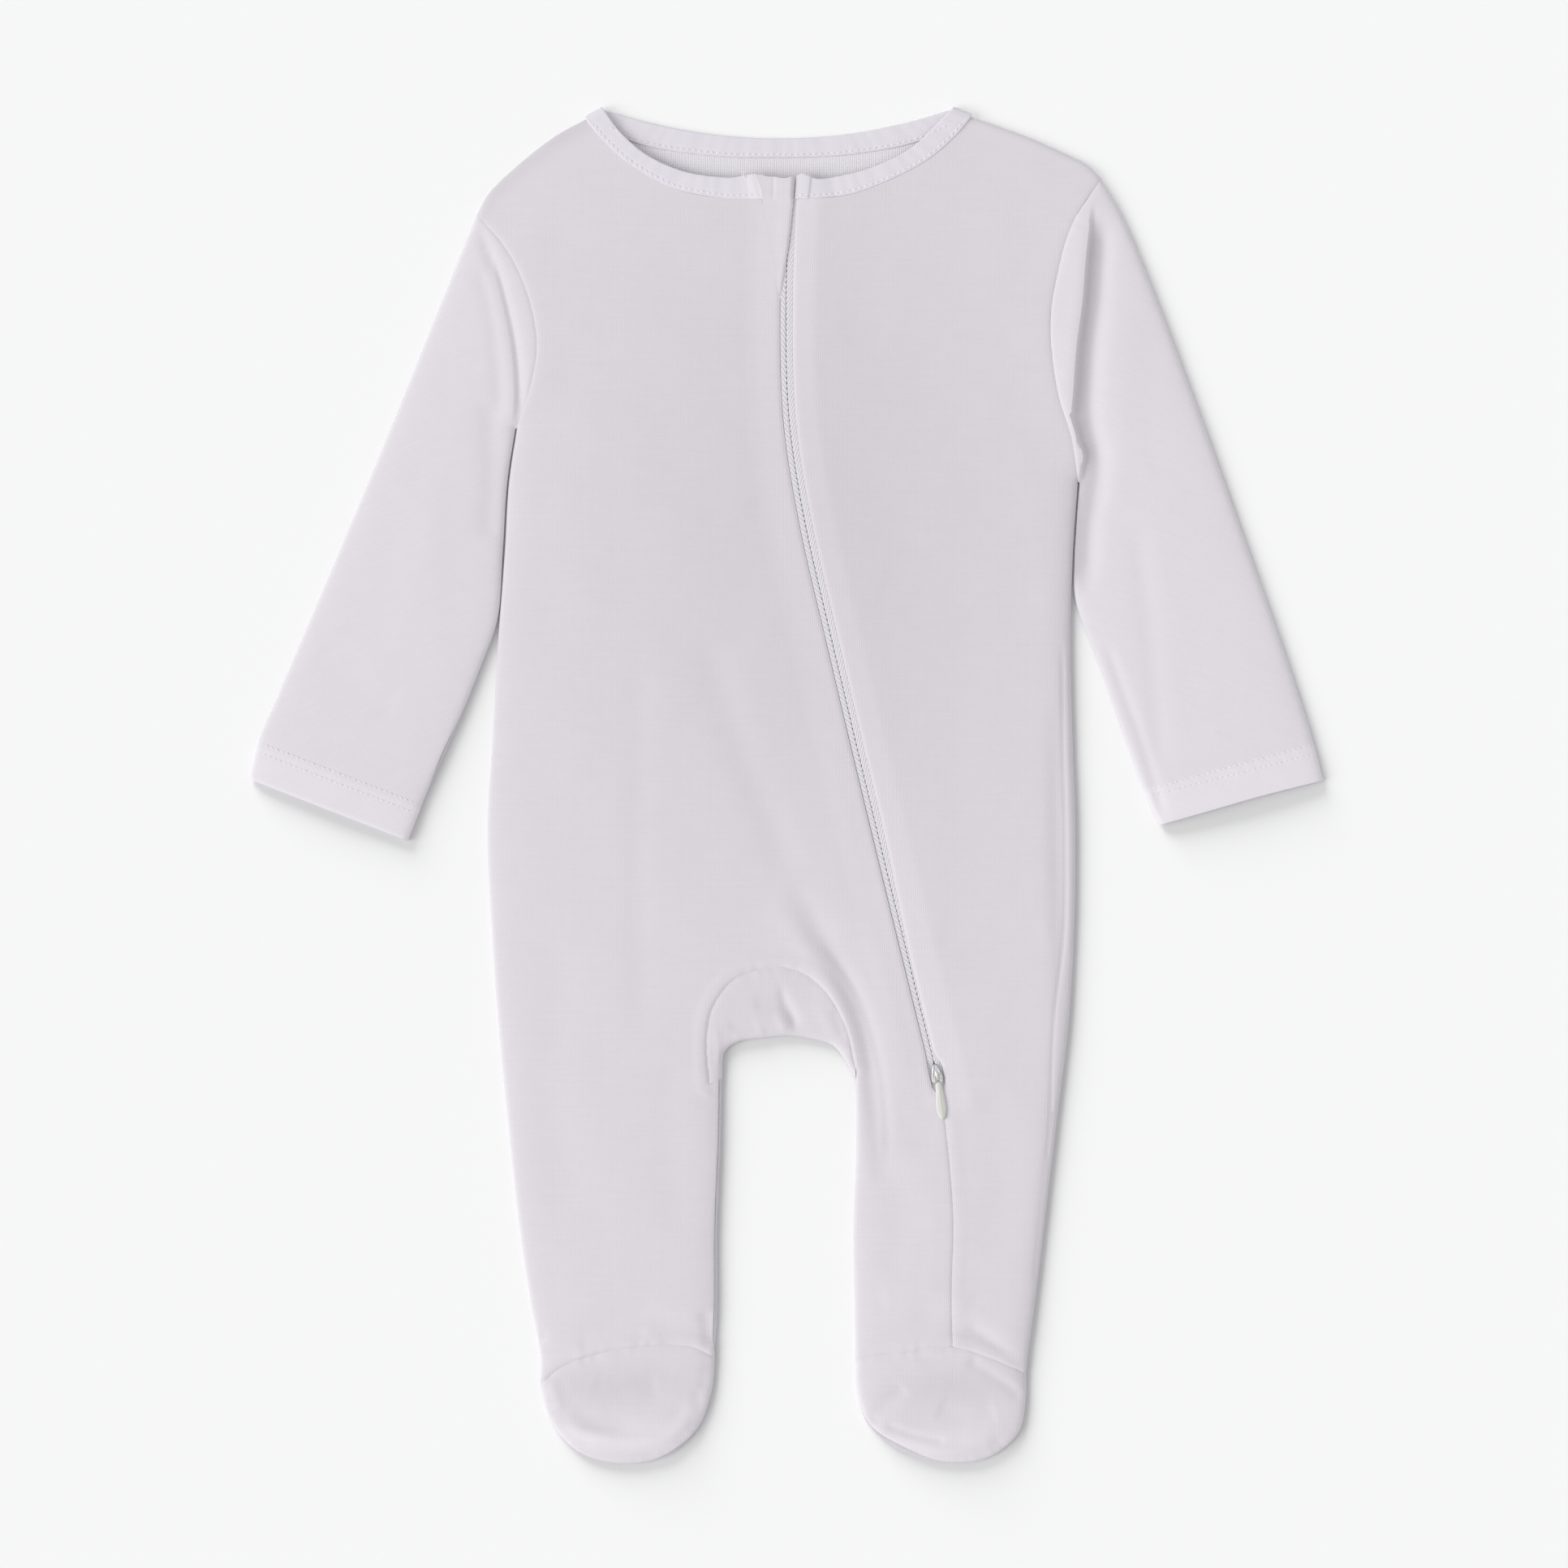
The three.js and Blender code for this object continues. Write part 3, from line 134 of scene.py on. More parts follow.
# Folds of the front: three points, half width, rise
FOLDS = [
    ([(6, -46), (31, -97), (40, -160)], 5, -1.7),
    ([(-2, -52), (21, -88), (33, -158)], 5, 0.9),
    ([(22, -40), (43, -96), (50, -165)], 7, 0.7),
    ([(111, 30), (112, -30), (113, -90)], 3.5, -0.8),
    ([(-88, -226), (-64, -220), (-40, -222)], 5, -0.9),
    ([(44, -225), (66, -222), (92, -233)], 5, -0.8),
    ([(-8, -88), (0, -92), (6, -99)], 3, -0.8),
    ([(-86, -252), (-66, -256), (-44, -252)], 9, -0.4),
    ([(-92, -262), (-67, -273), (-42, -264)], 5, 0.9),
    ([(44, -250), (64, -255), (86, -256)], 9, -0.4),
    ([(38, -262), (64, -272.5), (90, -265)], 5, 0.9),
]


# ---- lines and distances ----
def smooth(rows, step=1.3):
    """Evenly spaced points on a centripetal Catmull-Rom curve through the rows."""
    p = np.array(rows, float)
    p = np.vstack([2 * p[0] - p[1], p, 2 * p[-1] - p[-2]])
    out = []
    t = np.linspace(0, 1, 41)[:-1, None]
    for a, b, c, d in zip(p[:-3], p[1:-2], p[2:-1], p[3:]):
        k0, k1, k2 = (max(np.linalg.norm(v), 1e-6) ** 0.5 for v in (b - a, c - b, d - c))
        m1 = (b - a) / k0 - (c - a) / (k0 + k1) + (c - b) / k1
        m2 = (c - b) / k1 - (d - b) / (k1 + k2) + (d - c) / k2
        m1, m2 = m1 * k1, m2 * k1
        out.append((2 * b - 2 * c + m1 + m2) * t**3 + (-3 * b + 3 * c - 2 * m1 - m2) * t**2 + m1 * t + b)
    dense = np.vstack(out + [p[-2][None]])
    return respaced(dense, step)


def respaced(line, step=None, count=None):
    """Evenly spaced points on a line, by a step or by their count."""
    along = np.concatenate([[0], np.cumsum(np.linalg.norm(np.diff(line, axis=0), axis=1))])
    count = count or max(2, round(along[-1] / step) + 1)
    at = np.linspace(0, along[-1], count)
    return np.column_stack([np.interp(at, along, line[:, k]) for k in range(line.shape[1])])


def near(line, points):
    """Distance to a line, the side (+1 is left of its run) and the share of the way along it."""
    tree = KDTree(len(line))
    for i, (x, y) in enumerate(line.tolist()):
        tree.insert((x, y, 0), i)
    tree.balance()
    index = np.array([tree.find((x, y, 0))[1] for x, y in points.tolist()], int)
    last = len(line) - 2
    found = []
    for start in (np.clip(index - 1, 0, last), np.clip(index, 0, last)):
        a, d = line[start], line[start + 1] - line[start]
        t = np.clip(((points - a) * d).sum(1) / np.maximum((d**2).sum(1), 1e-12), 0, 1)
        gap = points - a - t[:, None] * d
        side = np.sign(d[:, 0] * gap[:, 1] - d[:, 1] * gap[:, 0])
        found.append((np.hypot(gap[:, 0], gap[:, 1]), side, (start + t) / (last + 1)))
    closer = found[1][0] < found[0][0]
    return tuple(np.where(closer, after, before) for before, after in zip(*found))


def smoothstep(low, high, value):
    t = np.clip((value - low) / (high - low), 0, 1)
    return t * t * (3 - 2 * t)


def bell(value):
    """1 at 0, and falling smoothly to 0 on both sides."""
    return np.exp(-(value**2))


def directions(line):
    """Unit vectors along a flat line, and to its left."""
    along = np.gradient(line, axis=0)
    along /= np.linalg.norm(along, axis=1)[:, None]
    return along, np.column_stack([-along[:, 1], along[:, 0]])


def offset(line, shift):
    return line + directions(line)[1] * shift


def line_length(line):
    return np.linalg.norm(np.diff(line, axis=0), axis=1).sum()


def inside(outline, points, chunk=6000):
    a, b = outline, np.roll(outline, -1, axis=0)
    dy = np.where(b[:, 1] == a[:, 1], 1e-12, b[:, 1] - a[:, 1])
    found = np.zeros(len(points), bool)
    for i in range(0, len(points), chunk):
        x, y = points[i:i + chunk, 0, None], points[i:i + chunk, 1, None]
        crosses = ((a[:, 1] > y) != (b[:, 1] > y)) & (x < (b[:, 0] - a[:, 0]) * (y - a[:, 1]) / dy + a[:, 0])
        found[i:i + chunk] = crosses.sum(1) % 2 == 1
    return found


def ripple(points, wavelength, seed):
    """A smooth uneven field from -1 to 1, the same on each run."""
    rng = np.random.default_rng(seed)
    total = np.zeros(len(points))
    for _ in range(7):
        angle = rng.uniform(0, 2 * math.pi)
        length = wavelength * rng.uniform(0.7, 1.5)
        phase = rng.uniform(0, 2 * math.pi)
        way = np.array([math.cos(angle), math.sin(angle)])
        total += np.sin(2 * math.pi / length * (points @ way) + phase)
    return total / 7


EDGE = {
    "shoulder_r": smooth(SHOULDER_R), "shoulder_l": smooth(SHOULDER_L),
    "armhole_r": smooth(ARMHOLE_R), "armhole_l": smooth(ARMHOLE_L),
    "side_r": smooth([UNDERARM_R] + [(right, y) for y, right, left in BODY_SIDES] + [TOE_R[0]]),
    "side_l": smooth([(left, y) for y, right, left in BODY_SIDES] + [ANKLE_L[-1]]),
    "inner_r": smooth([(right, y) for y, right, left in LEG_SIDES]),
    "inner_l": smooth([(left, y) for y, right, left in LEG_SIDES]),
    "gusset": smooth(GUSSET, 1), "crotch": smooth(CROTCH, 1),
    "ankle_r": smooth(ANKLE_R, 1), "ankle_l": smooth(ANKLE_L, 1),
    "heel_r": smooth(HEEL_R), "heel_l": smooth(HEEL_L), "toe_r": smooth(TOE_R, 1), "toe_l": smooth(TOE_L, 1),
    "neck_r": smooth([row[2:] for row in NECK_RIGHT]), "neck_l": smooth([row[2:] for row in NECK_LEFT]),
    "neck_b": smooth([row[2:] for row in NECK_BACK]), "closure": smooth(CLOSURE, 1),
}
CUFF = {side: np.array([outer[-1], inner[-1]], float) for side, outer, inner in (
    ("r", SLEEVE_R_OUTER, SLEEVE_R_INNER), ("l", SLEEVE_L_OUTER, SLEEVE_L_INNER))}
FOLDED = [EDGE[k] for k in ("shoulder_r", "shoulder_l", "side_r", "side_l", "inner_r", "inner_l", "crotch",
                            "toe_r", "toe_l")]
FOLD_LINES = [(smooth(rows, 3), half, rise) for rows, half, rise in FOLDS]


# ---- heights of the body, as in the solids ----
def fold_distance(points):
    return np.min([near(line, points)[0] for line in FOLDED], axis=0)


def soft_rise(distance):
    return (FIRST_RISE[0] * (1 - np.exp(-distance / FIRST_RISE[1]))
            + SLOW_RISE[0] * (1 - np.exp(-distance / SLOW_RISE[1])))


def zip_ridge_shares(points):
    """How far up the ridge over the zip a point lies, and how near to its middle."""
    across, side, _ = near(EDGE["closure"], points)
    up = smoothstep(ZIP_ENDS_Y - ZIP_RIDGE_HALF, ZIP_ENDS_Y, points[:, 1])
    beside = smoothstep(ZIP_RIDGE_HALF - ZIP_RIDGE_EASE, ZIP_RIDGE_HALF + ZIP_RIDGE_EASE, across)
    return across, side, up, 1 - beside


def zip_ridge(points):
    _, _, up, narrow = zip_ridge_shares(points)
    return ZIP_RIDGE * up * narrow


def fold_rise(points):
    total = np.zeros(len(points))
    for line, half, rise in FOLD_LINES:
        distance, _, share = near(line, points)
        total += rise * bell(distance / half) * np.sin(math.pi * (0.08 + 0.84 * share))
    return total


def front_under(points, edge=None):
    edge = fold_distance(points) if edge is None else edge
    return SEAM_LEVEL + soft_rise(edge) + zip_ridge(points) + fold_rise(points)


# ---- meshes ----
def mesh_object(name, vertices, faces, material, sharp=50, tone=None):
    """A mesh from points in millimetres; tone gives a small change of colour at each of them, mostly painted shade
    and painted light.
    """
    mesh = bpy.data.meshes.new(name)
    mesh.from_pydata((np.asarray(vertices) * MM).tolist(), [], [list(map(int, f)) for f in faces])
    if tone is not None:
        shade = mesh.attributes.new("tone", "FLOAT", "POINT")
        shade.data.foreach_set("value", tone(np.asarray(vertices)[:, :2]))
    mesh.validate()
    mesh.shade_smooth()
    mesh.set_sharp_from_angle(angle=math.radians(sharp))
    mesh.materials.append(material)
    made = bpy.data.objects.new(name, mesh)
    bpy.context.scene.collection.objects.link(made)
    return made


def joined(*lines):
    """One closed loop through the lines, without points that fall together."""
    loop = []
    for line in lines:
        for point in line:
            if not loop or np.hypot(*(point - loop[-1])) > 0.25:
                loop.append(point)
    while np.hypot(*(loop[0] - loop[-1])) < 0.25:
        loop.pop()
    return np.array(loop)


def inset(outline, depth):
    """The closed outline moved inwards."""
    area = np.sum(outline[:, 0] * np.roll(outline[:, 1], -1) - np.roll(outline[:, 0], -1) * outline[:, 1])
    along = np.roll(outline, -1, axis=0) - np.roll(outline, 1, axis=0)
    along /= np.linalg.norm(along, axis=1)[:, None]
    normal = np.column_stack([-along[:, 1], along[:, 0]]) * np.sign(area)
    return outline + normal * depth


EDGE_ROWS = (0.35, 0.9, 1.7)
LINE_ROWS = (-1.6, -0.8, 0, 0.8, 1.6)


def flat_mesh(outline, step, rings=EDGE_ROWS, lines=()):
    """Triangles over an outline: finer rows at its edge and along the given lines, then an even grid."""
    closed = np.vstack([outline, outline[:1]])
    wanted = [np.empty((0, 2))]
    for depth in rings:
        ring = inset(outline, depth)
        ring = ring[inside(outline, ring)]
        wanted.append(ring[near(closed, ring)[0] > 0.9 * depth])
    clear = rings[-1] + 0.5 * step if rings else 0.5 * step
    for line in lines:
        for shift in LINE_ROWS:
            row = offset(line, shift)
            row = row[inside(outline, row)]
            if len(row):
                wanted.append(row[near(closed, row)[0] > clear])
    low, high = outline.min(0), outline.max(0)
    ys = np.arange(low[1], high[1], step * 0.866)
    xs = np.arange(low[0], high[0], step)
    grid = np.array([(x + (j % 2) * step / 2, y) for j, y in enumerate(ys) for x in xs])
    grid = grid[inside(outline, grid)]
    grid = grid[near(closed, grid)[0] > clear]
    for line in lines:
        grid = grid[near(line, grid)[0] > LINE_ROWS[-1] + 0.5 * step]
    wanted.append(grid)
    points = np.vstack([outline] + wanted)
    count = len(outline)
    edges = [(i, (i + 1) % count) for i in range(count)]
    flat = [Vector(p) for p in points.tolist()]
    verts, _, faces, _, _, _ = delaunay_2d_cdt(flat, edges, [], 1, 1e-5, False)
    verts = np.array([tuple(v) for v in verts])
    faces = np.array([f for f in faces if len(f) == 3])
    return verts, faces[inside(outline, verts[faces].mean(1))]


def closed_shell(points, faces, top, low):
    """Vertices and faces of a wall between two heights over the same triangles."""
    a, b, c = (points[faces[:, k]] for k in range(3))
    turned = (b[:, 0] - a[:, 0]) * (c[:, 1] - a[:, 1]) - (b[:, 1] - a[:, 1]) * (c[:, 0] - a[:, 0]) < 0
    faces = np.where(turned[:, None], faces[:, ::-1], faces)
    count = len(points)
    pairs = np.vstack([faces[:, [0, 1]], faces[:, [1, 2]], faces[:, [2, 0]]])
    keys = {tuple(p) for p in pairs.tolist()}
    rim = [(i, j) for i, j in keys if (j, i) not in keys]
    vertices = np.vstack([np.column_stack([points, top]), np.column_stack([points, low])])
    sides = [(j, i, i + count, j + count) for i, j in rim]
    return vertices, faces.tolist() + (faces[:, ::-1] + count).tolist() + sides


def ring_faces(size, rings, base=0):
    """Faces between rings of points, one ring after another."""
    faces = []
    for start in range(base, base + (rings - 1) * size, size):
        for i in range(size):
            k = (i + 1) % size
            faces.append((start + i, start + k, start + size + k, start + size + i))
    return faces


def swept(rings):
    """Faces through rings of points; the ends are closed by rungs between the two halves of a ring."""
    size = len(rings[0])
    last = (len(rings) - 1) * size
    faces = ring_faces(size, len(rings))
    for i in range(size // 2 - 1):
        across = size - 1 - i
        faces.append((i, across, across - 1, i + 1))
        faces.append((last + i, last + i + 1, last + across - 1, last + across))
    return np.vstack(rings), faces


def end_faces(size, rings, base=0):
    """One flat face over the first ring and one over the last."""
    last = base + (rings - 1) * size
    return [tuple(range(base, base + size))[::-1], tuple(range(last, last + size))]


def merged(parts):
    vertices, faces = [], []
    count = 0
    for v, f in parts:
        vertices.append(v)
        faces += [tuple(i + count for i in face) for face in f]
        count += len(v)
    return np.vstack(vertices), faces


def fix_normals(made):
    work = bmesh.new()
    work.from_mesh(made.data)
    bmesh.ops.recalc_face_normals(work, faces=work.faces)
    work.to_mesh(made.data)
    work.free()


# ---- materials ----
def srgb(r, g, b):
    return tuple(((c / 255 + 0.055) / 1.055) ** 2.4 if c > 10 else c / 255 / 12.92 for c in (r, g, b)) + (1.0,)


def node(tree, kind, **values):
    """A node; each value is set on it or on its socket of that name, and an output is linked to that socket."""
    made = tree.nodes.new(kind)
    for key, value in values.items():
        socket = made.inputs.get(key.replace("_", " "))
        if socket is None:
            setattr(made, key, value)
        elif isinstance(value, bpy.types.NodeSocket):
            tree.links.new(value, socket)
        else:
            socket.default_value = value
    return made


def math_node(tree, operation, first, second=None):
    made = tree.nodes.new("ShaderNodeMath")
    made.operation = operation
    for socket, value in zip(made.inputs, (first, second)):
        if isinstance(value, bpy.types.NodeSocket):
            tree.links.new(value, socket)
        elif value is not None:
            socket.default_value = value
    return made.outputs[0]


def scaled(tree, value, factor):
    return math_node(tree, "MULTIPLY", value, factor)


def added(tree, first, second):
    return math_node(tree, "ADD", first, second)


def wave_of(tree, value):
    return math_node(tree, "SINE", value)


def ramp_node(tree, value, dark, light, low=0.0, high=1.0):
    made = tree.nodes.new("ShaderNodeValToRGB")
    for element, position, colour in zip(made.color_ramp.elements, (low, high), (dark, light)):
        element.position, element.color = position, colour
    tree.links.new(value, made.inputs[0])
    return made.outputs[0]


def darker(colour, share):
    return tuple(c * share for c in colour[:3]) + (1,)


def new_material(name, **settings):
    """A material with its node tree and its shader, whose own sockets take the settings."""
    made = bpy.data.materials.new(name)
    made.use_nodes = True
    shader = made.node_tree.nodes["Principled BSDF"]
    for key, value in settings.items():
        shader.inputs[key.replace("_", " ")].default_value = value
    return made, made.node_tree, shader


def cloth_material(name, colour, turn=0.0, wale=0.0008, depth=0.00008, contrast=0.035, wales=0.15):
    """Interlock jersey: columns of stitches along the cloth, a fine fuzz and a slight unevenness of colour, scaled
    by the tone attribute, which carries painted shade and painted light.
    """
    course = 0.00066
    made, tree, shader = new_material(name, Roughness=0.9, Specular_IOR_Level=0.25, Sheen_Weight=0.08,
                                      Sheen_Roughness=0.6)
    place = node(tree, "ShaderNodeTexCoord").outputs["Object"]
    turned = node(tree, "ShaderNodeMapping", Rotation=(0, 0, math.radians(turn)), Vector=place).outputs[0]
    split = node(tree, "ShaderNodeSeparateXYZ", Vector=turned)
    wobble = node(tree, "ShaderNodeTexNoise", Scale=160.0, Detail=1.0, Vector=turned)
    shift = scaled(tree, wobble.outputs[0], 1.6)
    across = added(tree, scaled(tree, split.outputs["X"], math.pi / wale), shift)
    column = math_node(tree, "ABSOLUTE", wave_of(tree, across))
    along = added(tree, scaled(tree, split.outputs["Y"], 2 * math.pi / course), scaled(tree, column, 1.3))
    knit = added(tree, column, scaled(tree, wave_of(tree, along), 0.28))
    fuzz = node(tree, "ShaderNodeTexNoise", Scale=1500.0, Detail=3.0, Roughness=0.7, Vector=turned)
    height = added(tree, knit, scaled(tree, fuzz.outputs[0], 0.7))
    bump = node(tree, "ShaderNodeBump", Strength=0.5, Distance=depth, Height=height)
    broad = node(tree, "ShaderNodeTexNoise", Scale=55.0, Detail=4.0, Roughness=0.6, Vector=place)
    soft = node(tree, "ShaderNodeBump", Strength=0.35, Distance=0.0006, Height=broad.outputs[0],
                Normal=bump.outputs[0])
    tree.links.new(soft.outputs[0], shader.inputs["Normal"])
    slubs = node(tree, "ShaderNodeMapping", Scale=(45, 700, 1), Vector=turned)
    tint = node(tree, "ShaderNodeTexNoise", Scale=1.0, Detail=3.0, Roughness=0.65, Vector=slubs.outputs[0])
    mixed = added(tree, scaled(tree, tint.outputs[0], 1 - wales), scaled(tree, knit, wales))
    tinted = ramp_node(tree, mixed, darker(colour, 1 - contrast), colour, 0.3, 0.85)
    # tone scales the colour: painted shade and painted light, with the lighter doubled cloth
    tone = node(tree, "ShaderNodeAttribute", attribute_name="tone")
    shaded = node(tree, "ShaderNodeVectorMath", operation="SCALE", Scale=added(tree, tone.outputs["Fac"], 1.0))
    tree.links.new(tinted, shaded.inputs[0])
    tree.links.new(shaded.outputs[0], shader.inputs["Base Color"])
    return made


def plain_material(name, colour, roughness, metallic=0.0, coat=0.0, grain=2500.0):
    """Thread, nylon, metal or enamel: a fine grain in its colour, gloss and surface."""
    made, tree, shader = new_material(name, Metallic=metallic, Coat_Weight=coat)
    place = node(tree, "ShaderNodeTexCoord").outputs["Object"]
    noise = node(tree, "ShaderNodeTexNoise", Scale=grain, Detail=3.0, Vector=place).outputs[0]
    rough = node(tree, "ShaderNodeMapRange", To_Min=roughness * 0.8, To_Max=roughness * 1.25, Value=noise)
    tree.links.new(rough.outputs[0], shader.inputs["Roughness"])
    tree.links.new(ramp_node(tree, noise, darker(colour, 0.98), colour), shader.inputs["Base Color"])
    bump = node(tree, "ShaderNodeBump", Strength=0.4, Distance=0.00002, Height=noise)
    tree.links.new(bump.outputs[0], shader.inputs["Normal"])
    return made


def twill_material(name, colour, lean):
    """Woven tape: slanting ribs across the tape, from the tape's own length and width in weave_at."""
    rib_period, thread_period = 0.0023, 0.0003
    made, tree, shader = new_material(name, Roughness=0.65, Sheen_Weight=0.1)
    at = node(tree, "ShaderNodeAttribute", attribute_name="weave_at")
    split = node(tree, "ShaderNodeSeparateXYZ", Vector=at.outputs["Vector"])
    slant = added(tree, scaled(tree, split.outputs["X"], lean), split.outputs["Y"])
    rib = wave_of(tree, scaled(tree, slant, 2 * math.pi / rib_period))
    grain = wave_of(tree, scaled(tree, split.outputs["X"], 2 * math.pi / thread_period))
    height = added(tree, rib, scaled(tree, grain, 0.25))
    bump = node(tree, "ShaderNodeBump", Strength=0.7, Distance=0.00012, Height=height)
    tree.links.new(bump.outputs[0], shader.inputs["Normal"])
    shade = added(tree, scaled(tree, rib, 0.5), 0.5)
    tree.links.new(ramp_node(tree, shade, darker(colour, 0.86), colour, 0.0, 0.6), shader.inputs["Base Color"])
    return made


COTTON = srgb(233, 228, 234)
SLEEVE_COTTON = srgb(236, 231, 237)
body_cloth = cloth_material("body_cloth", COTTON)
# The inside of the back is lighter than the cotton as painted light against the shade in the neck opening; its wales
# show more.
inner_cloth_painted_light = cloth_material("inner_cloth_painted_light", srgb(251, 247, 253), wale=0.00077, depth=0.0003, contrast=0.17,
                             wales=0.8)
sleeve_r_cloth = cloth_material("sleeve_r_cloth", SLEEVE_COTTON, turn=-22)
sleeve_l_cloth = cloth_material("sleeve_l_cloth", SLEEVE_COTTON, turn=19)
binding_cloth = cloth_material("binding_cloth", srgb(238, 233, 240), turn=90)
thread = plain_material("thread", srgb(247, 243, 249), 0.55, grain=4000.0)
tape_r_cloth = twill_material("tape_r_cloth", srgb(241, 237, 243), 1.5)
tape_l_cloth = twill_material("tape_l_cloth", srgb(240, 236, 242), 2.0)
nylon = plain_material("nylon", srgb(232, 230, 234), 0.35, coat=0.3)
nickel = plain_material("nickel", srgb(240, 240, 241), 0.34, metallic=1.0)
enamel = plain_material("enamel", srgb(223, 222, 216), 0.45, coat=0.15)


def finish_piece(made, node_name, body="garment"):
    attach(made, body)
    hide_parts(node_name)


def added_detail(made):
    """A small piece of the garment that stands for no solid."""
    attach(made, "garment")


def add_sheet(made, node_name):
    finish_piece(made, node_name)


# ---- relief of the sewn lines ----
def near_line(points, line, reach, rise_at):
    """A rise worked out from distance, side and share of the way, for the points close to a line."""
    box = (points > line.min(0) - reach).all(1) & (points < line.max(0) + reach).all(1)
    total = np.zeros(len(points))
    if box.any():
        total[box] = rise_at(*near(line, points[box]))
    return total


def fading_ends(share, taper):
    return smoothstep(0, taper, share) * smoothstep(0, taper, 1 - share)


def seam(points, line, depth=0.36, half=0.9, band=0.0, pucker=0.10, wave=7.5, seed=1):
    """A sewn line: a groove, the seam allowance as a low band on its left, and small puckers."""
    def rise_at(distance, side, share):
        s = share * line_length(line)
        rise = -depth * np.exp(-distance / half)
        rise += band * ((side > 0) * smoothstep(0.2, 1.2, distance) * (1 - smoothstep(4, 6, distance)))
        uneven = np.sin(2 * math.pi * s / wave + 1.7 * np.sin(2 * math.pi * s / (wave * 2.7) + seed))
        return rise + pucker * uneven * bell(distance / 3.2) * (0.6 + 0.4 * np.sin(s / 11 + seed))

    return near_line(points, line, 14, rise_at)


def crease(points, rows, half, rise, taper=0.12):
    """A soft ridge or trough that fades at both ends."""
    def rise_at(distance, _, share):
        return rise * bell(distance / half) * fading_ends(share, taper)

    return near_line(points, smooth(rows, 2), 3 * half, rise_at)


def creases(points, rows):
    return sum(crease(points, *row) for row in rows)


def ledge(points, rows, height, width, reach, taper=0.15):
    """A pleat's edge: the cloth to the left of the line's run stands higher than on its right."""
    def rise_at(distance, side, share):
        return height * fading_ends(share, taper) * np.tanh(side * distance / width) * np.exp(-distance / reach)

    return near_line(points, smooth(rows, 2), 3 * reach, rise_at)


# Creases of the front that are too small for the solids: points, half width, rise
FRONT_CREASES = [
    ([(-104, 225), (-60, 214), (-20, 219)], 9, -0.20),
    ([(-96, 190), (-50, 181), (-14, 186)], 7, 0.18),
    ([(-98, 170), (-58, 158), (-18, 164)], 8, -0.20),
    ([(-100, 120), (-55, 112), (-10, 116)], 11, 0.18),
    ([(-108, 66), (-60, 58), (-8, 62)], 12, -0.20),
    ([(20, 190), (60, 182), (98, 188)], 9, -0.18),
    ([(24, 140), (66, 132), (104, 137)], 10, 0.16),
    ([(34, 80), (74, 74), (108, 78)], 11, -0.18),
    ([(62, -60), (90, -66), (108, -62)], 9, -0.2),
    ([(-33, 62), (-21, 22), (-8, -11), (5, -45)], 7, -0.5),
    ([(-60, 62), (-61, -20), (-60, -111)], 6, -0.3),
    ([(-46, -110), (-48, -150), (-44, -190)], 7, -0.25),
    ([(-92, -60), (-96, -120), (-88, -180)], 9, -0.25),
    ([(46, -140), (48, -170), (44, -205)], 6, -0.3),
    ([(84, -120), (88, -160), (84, -200)], 8, -0.25),
    ([(56, -150), (60, -185), (58, -214)], 5, 0.2),
    ([(-89.4, -235.8), (-70, -231), (-49.2, -228.6)], 2.2, 0.35),
    ([(-86.4, -231.4), (-72, -228), (-56.6, -225.1)], 2.6, -0.45),
    ([(-33.6, -216), (-32.6, -224), (-31.1, -232)], 2.6, -0.8),
    ([(-99.8, -225.1), (-100.6, -228), (-101.1, -230.8)], 1.4, -0.5),
    ([(38, -212), (58, -208), (78, -214)], 6, 0.3),
    ([(74, -222), (85.1, -229.8), (99.5, -241.8)], 2.4, -0.55),
]
FRONT_LEDGE = [(41, -158), (39.6, -128.6), (36, -108), (28.5, -86.7), (20.5, -74), (12, -62)]
GUSSET_CREASES = [
    ([(-1.7, -83), (-1, -89), (2.4, -95.5), (4.4, -101)], 1.7, -0.95),
    ([(-4.6, -92), (-2.4, -97), (0.4, -102)], 1.7, 0.45),
    ([(-13.1, -90.1), (-7, -91.4), (-0.7, -93.4)], 2.4, -0.5),
    ([(-24, -99), (-18, -99.8), (-12, -99)], 2.4, -0.4),
    ([(-22, -104), (-14, -103), (-8, -102)], 2.0, 0.35),
    ([(12, -88), (16, -96), (20, -104)], 3.0, 0.35),
    ([(19, -92), (22, -99), (25, -108)], 2.2, -0.45),
    ([(-29, -100), (-28, -108), (-28, -116)], 1.5, 0.3),
]
FOOT_R_CREASES = [
    ([(-92, -263.9), (-69, -269.6), (-49.9, -269.3), (-38.5, -259.6)], 2.6, 0.75),
    ([(-90, -259), (-69, -263.5), (-50, -263), (-40, -255)], 3.4, -0.5),
    ([(-80, -246), (-67, -249.5), (-52, -247)], 5, -0.3),
    ([(-36.8, -248), (-36.2, -255.9), (-33.2, -263)], 2.4, -0.35),
    ([(-30.8, -237), (-33, -243), (-34, -250)], 2.8, -0.4),
    ([(-97, -244), (-95, -252), (-93, -258)], 2.5, 0.4),
]
FOOT_L_CREASES = [
    ([(49, -248), (43.2, -253.5), (33.8, -262)], 3.4, -0.45),
    ([(62, -256), (74.4, -260.9), (87, -258)], 5, -0.4),
    ([(34.8, -265), (50.2, -271), (68, -274), (88, -270)], 2.6, 0.75),
    ([(74, -236.5), (83.7, -241.8), (97.5, -252.5)], 2.4, -0.55),
    ([(78, -237), (88, -243), (98, -249)], 2.0, 0.25),
    ([(40, -263), (52, -267.5), (66, -270.5)], 1.4, -0.45),
]
TOE_SLIVERS = {  # where the sole shows below the upper: centre, half width, depth
    "r": [((-82, -277), 13, 1.0), ((-46, -275), 9, 0.9)],
    "l": [((47, -274), 14, 2.3), ((76, -279), 9, 0.7)],
}
SIDE_SEAM_L = [(113.6, 60), (113.9, 20), (114.9, -24), (114.4, -60), (110.2, -98), (108.4, -140), (104.4, -180),
               (101.2, -212)]
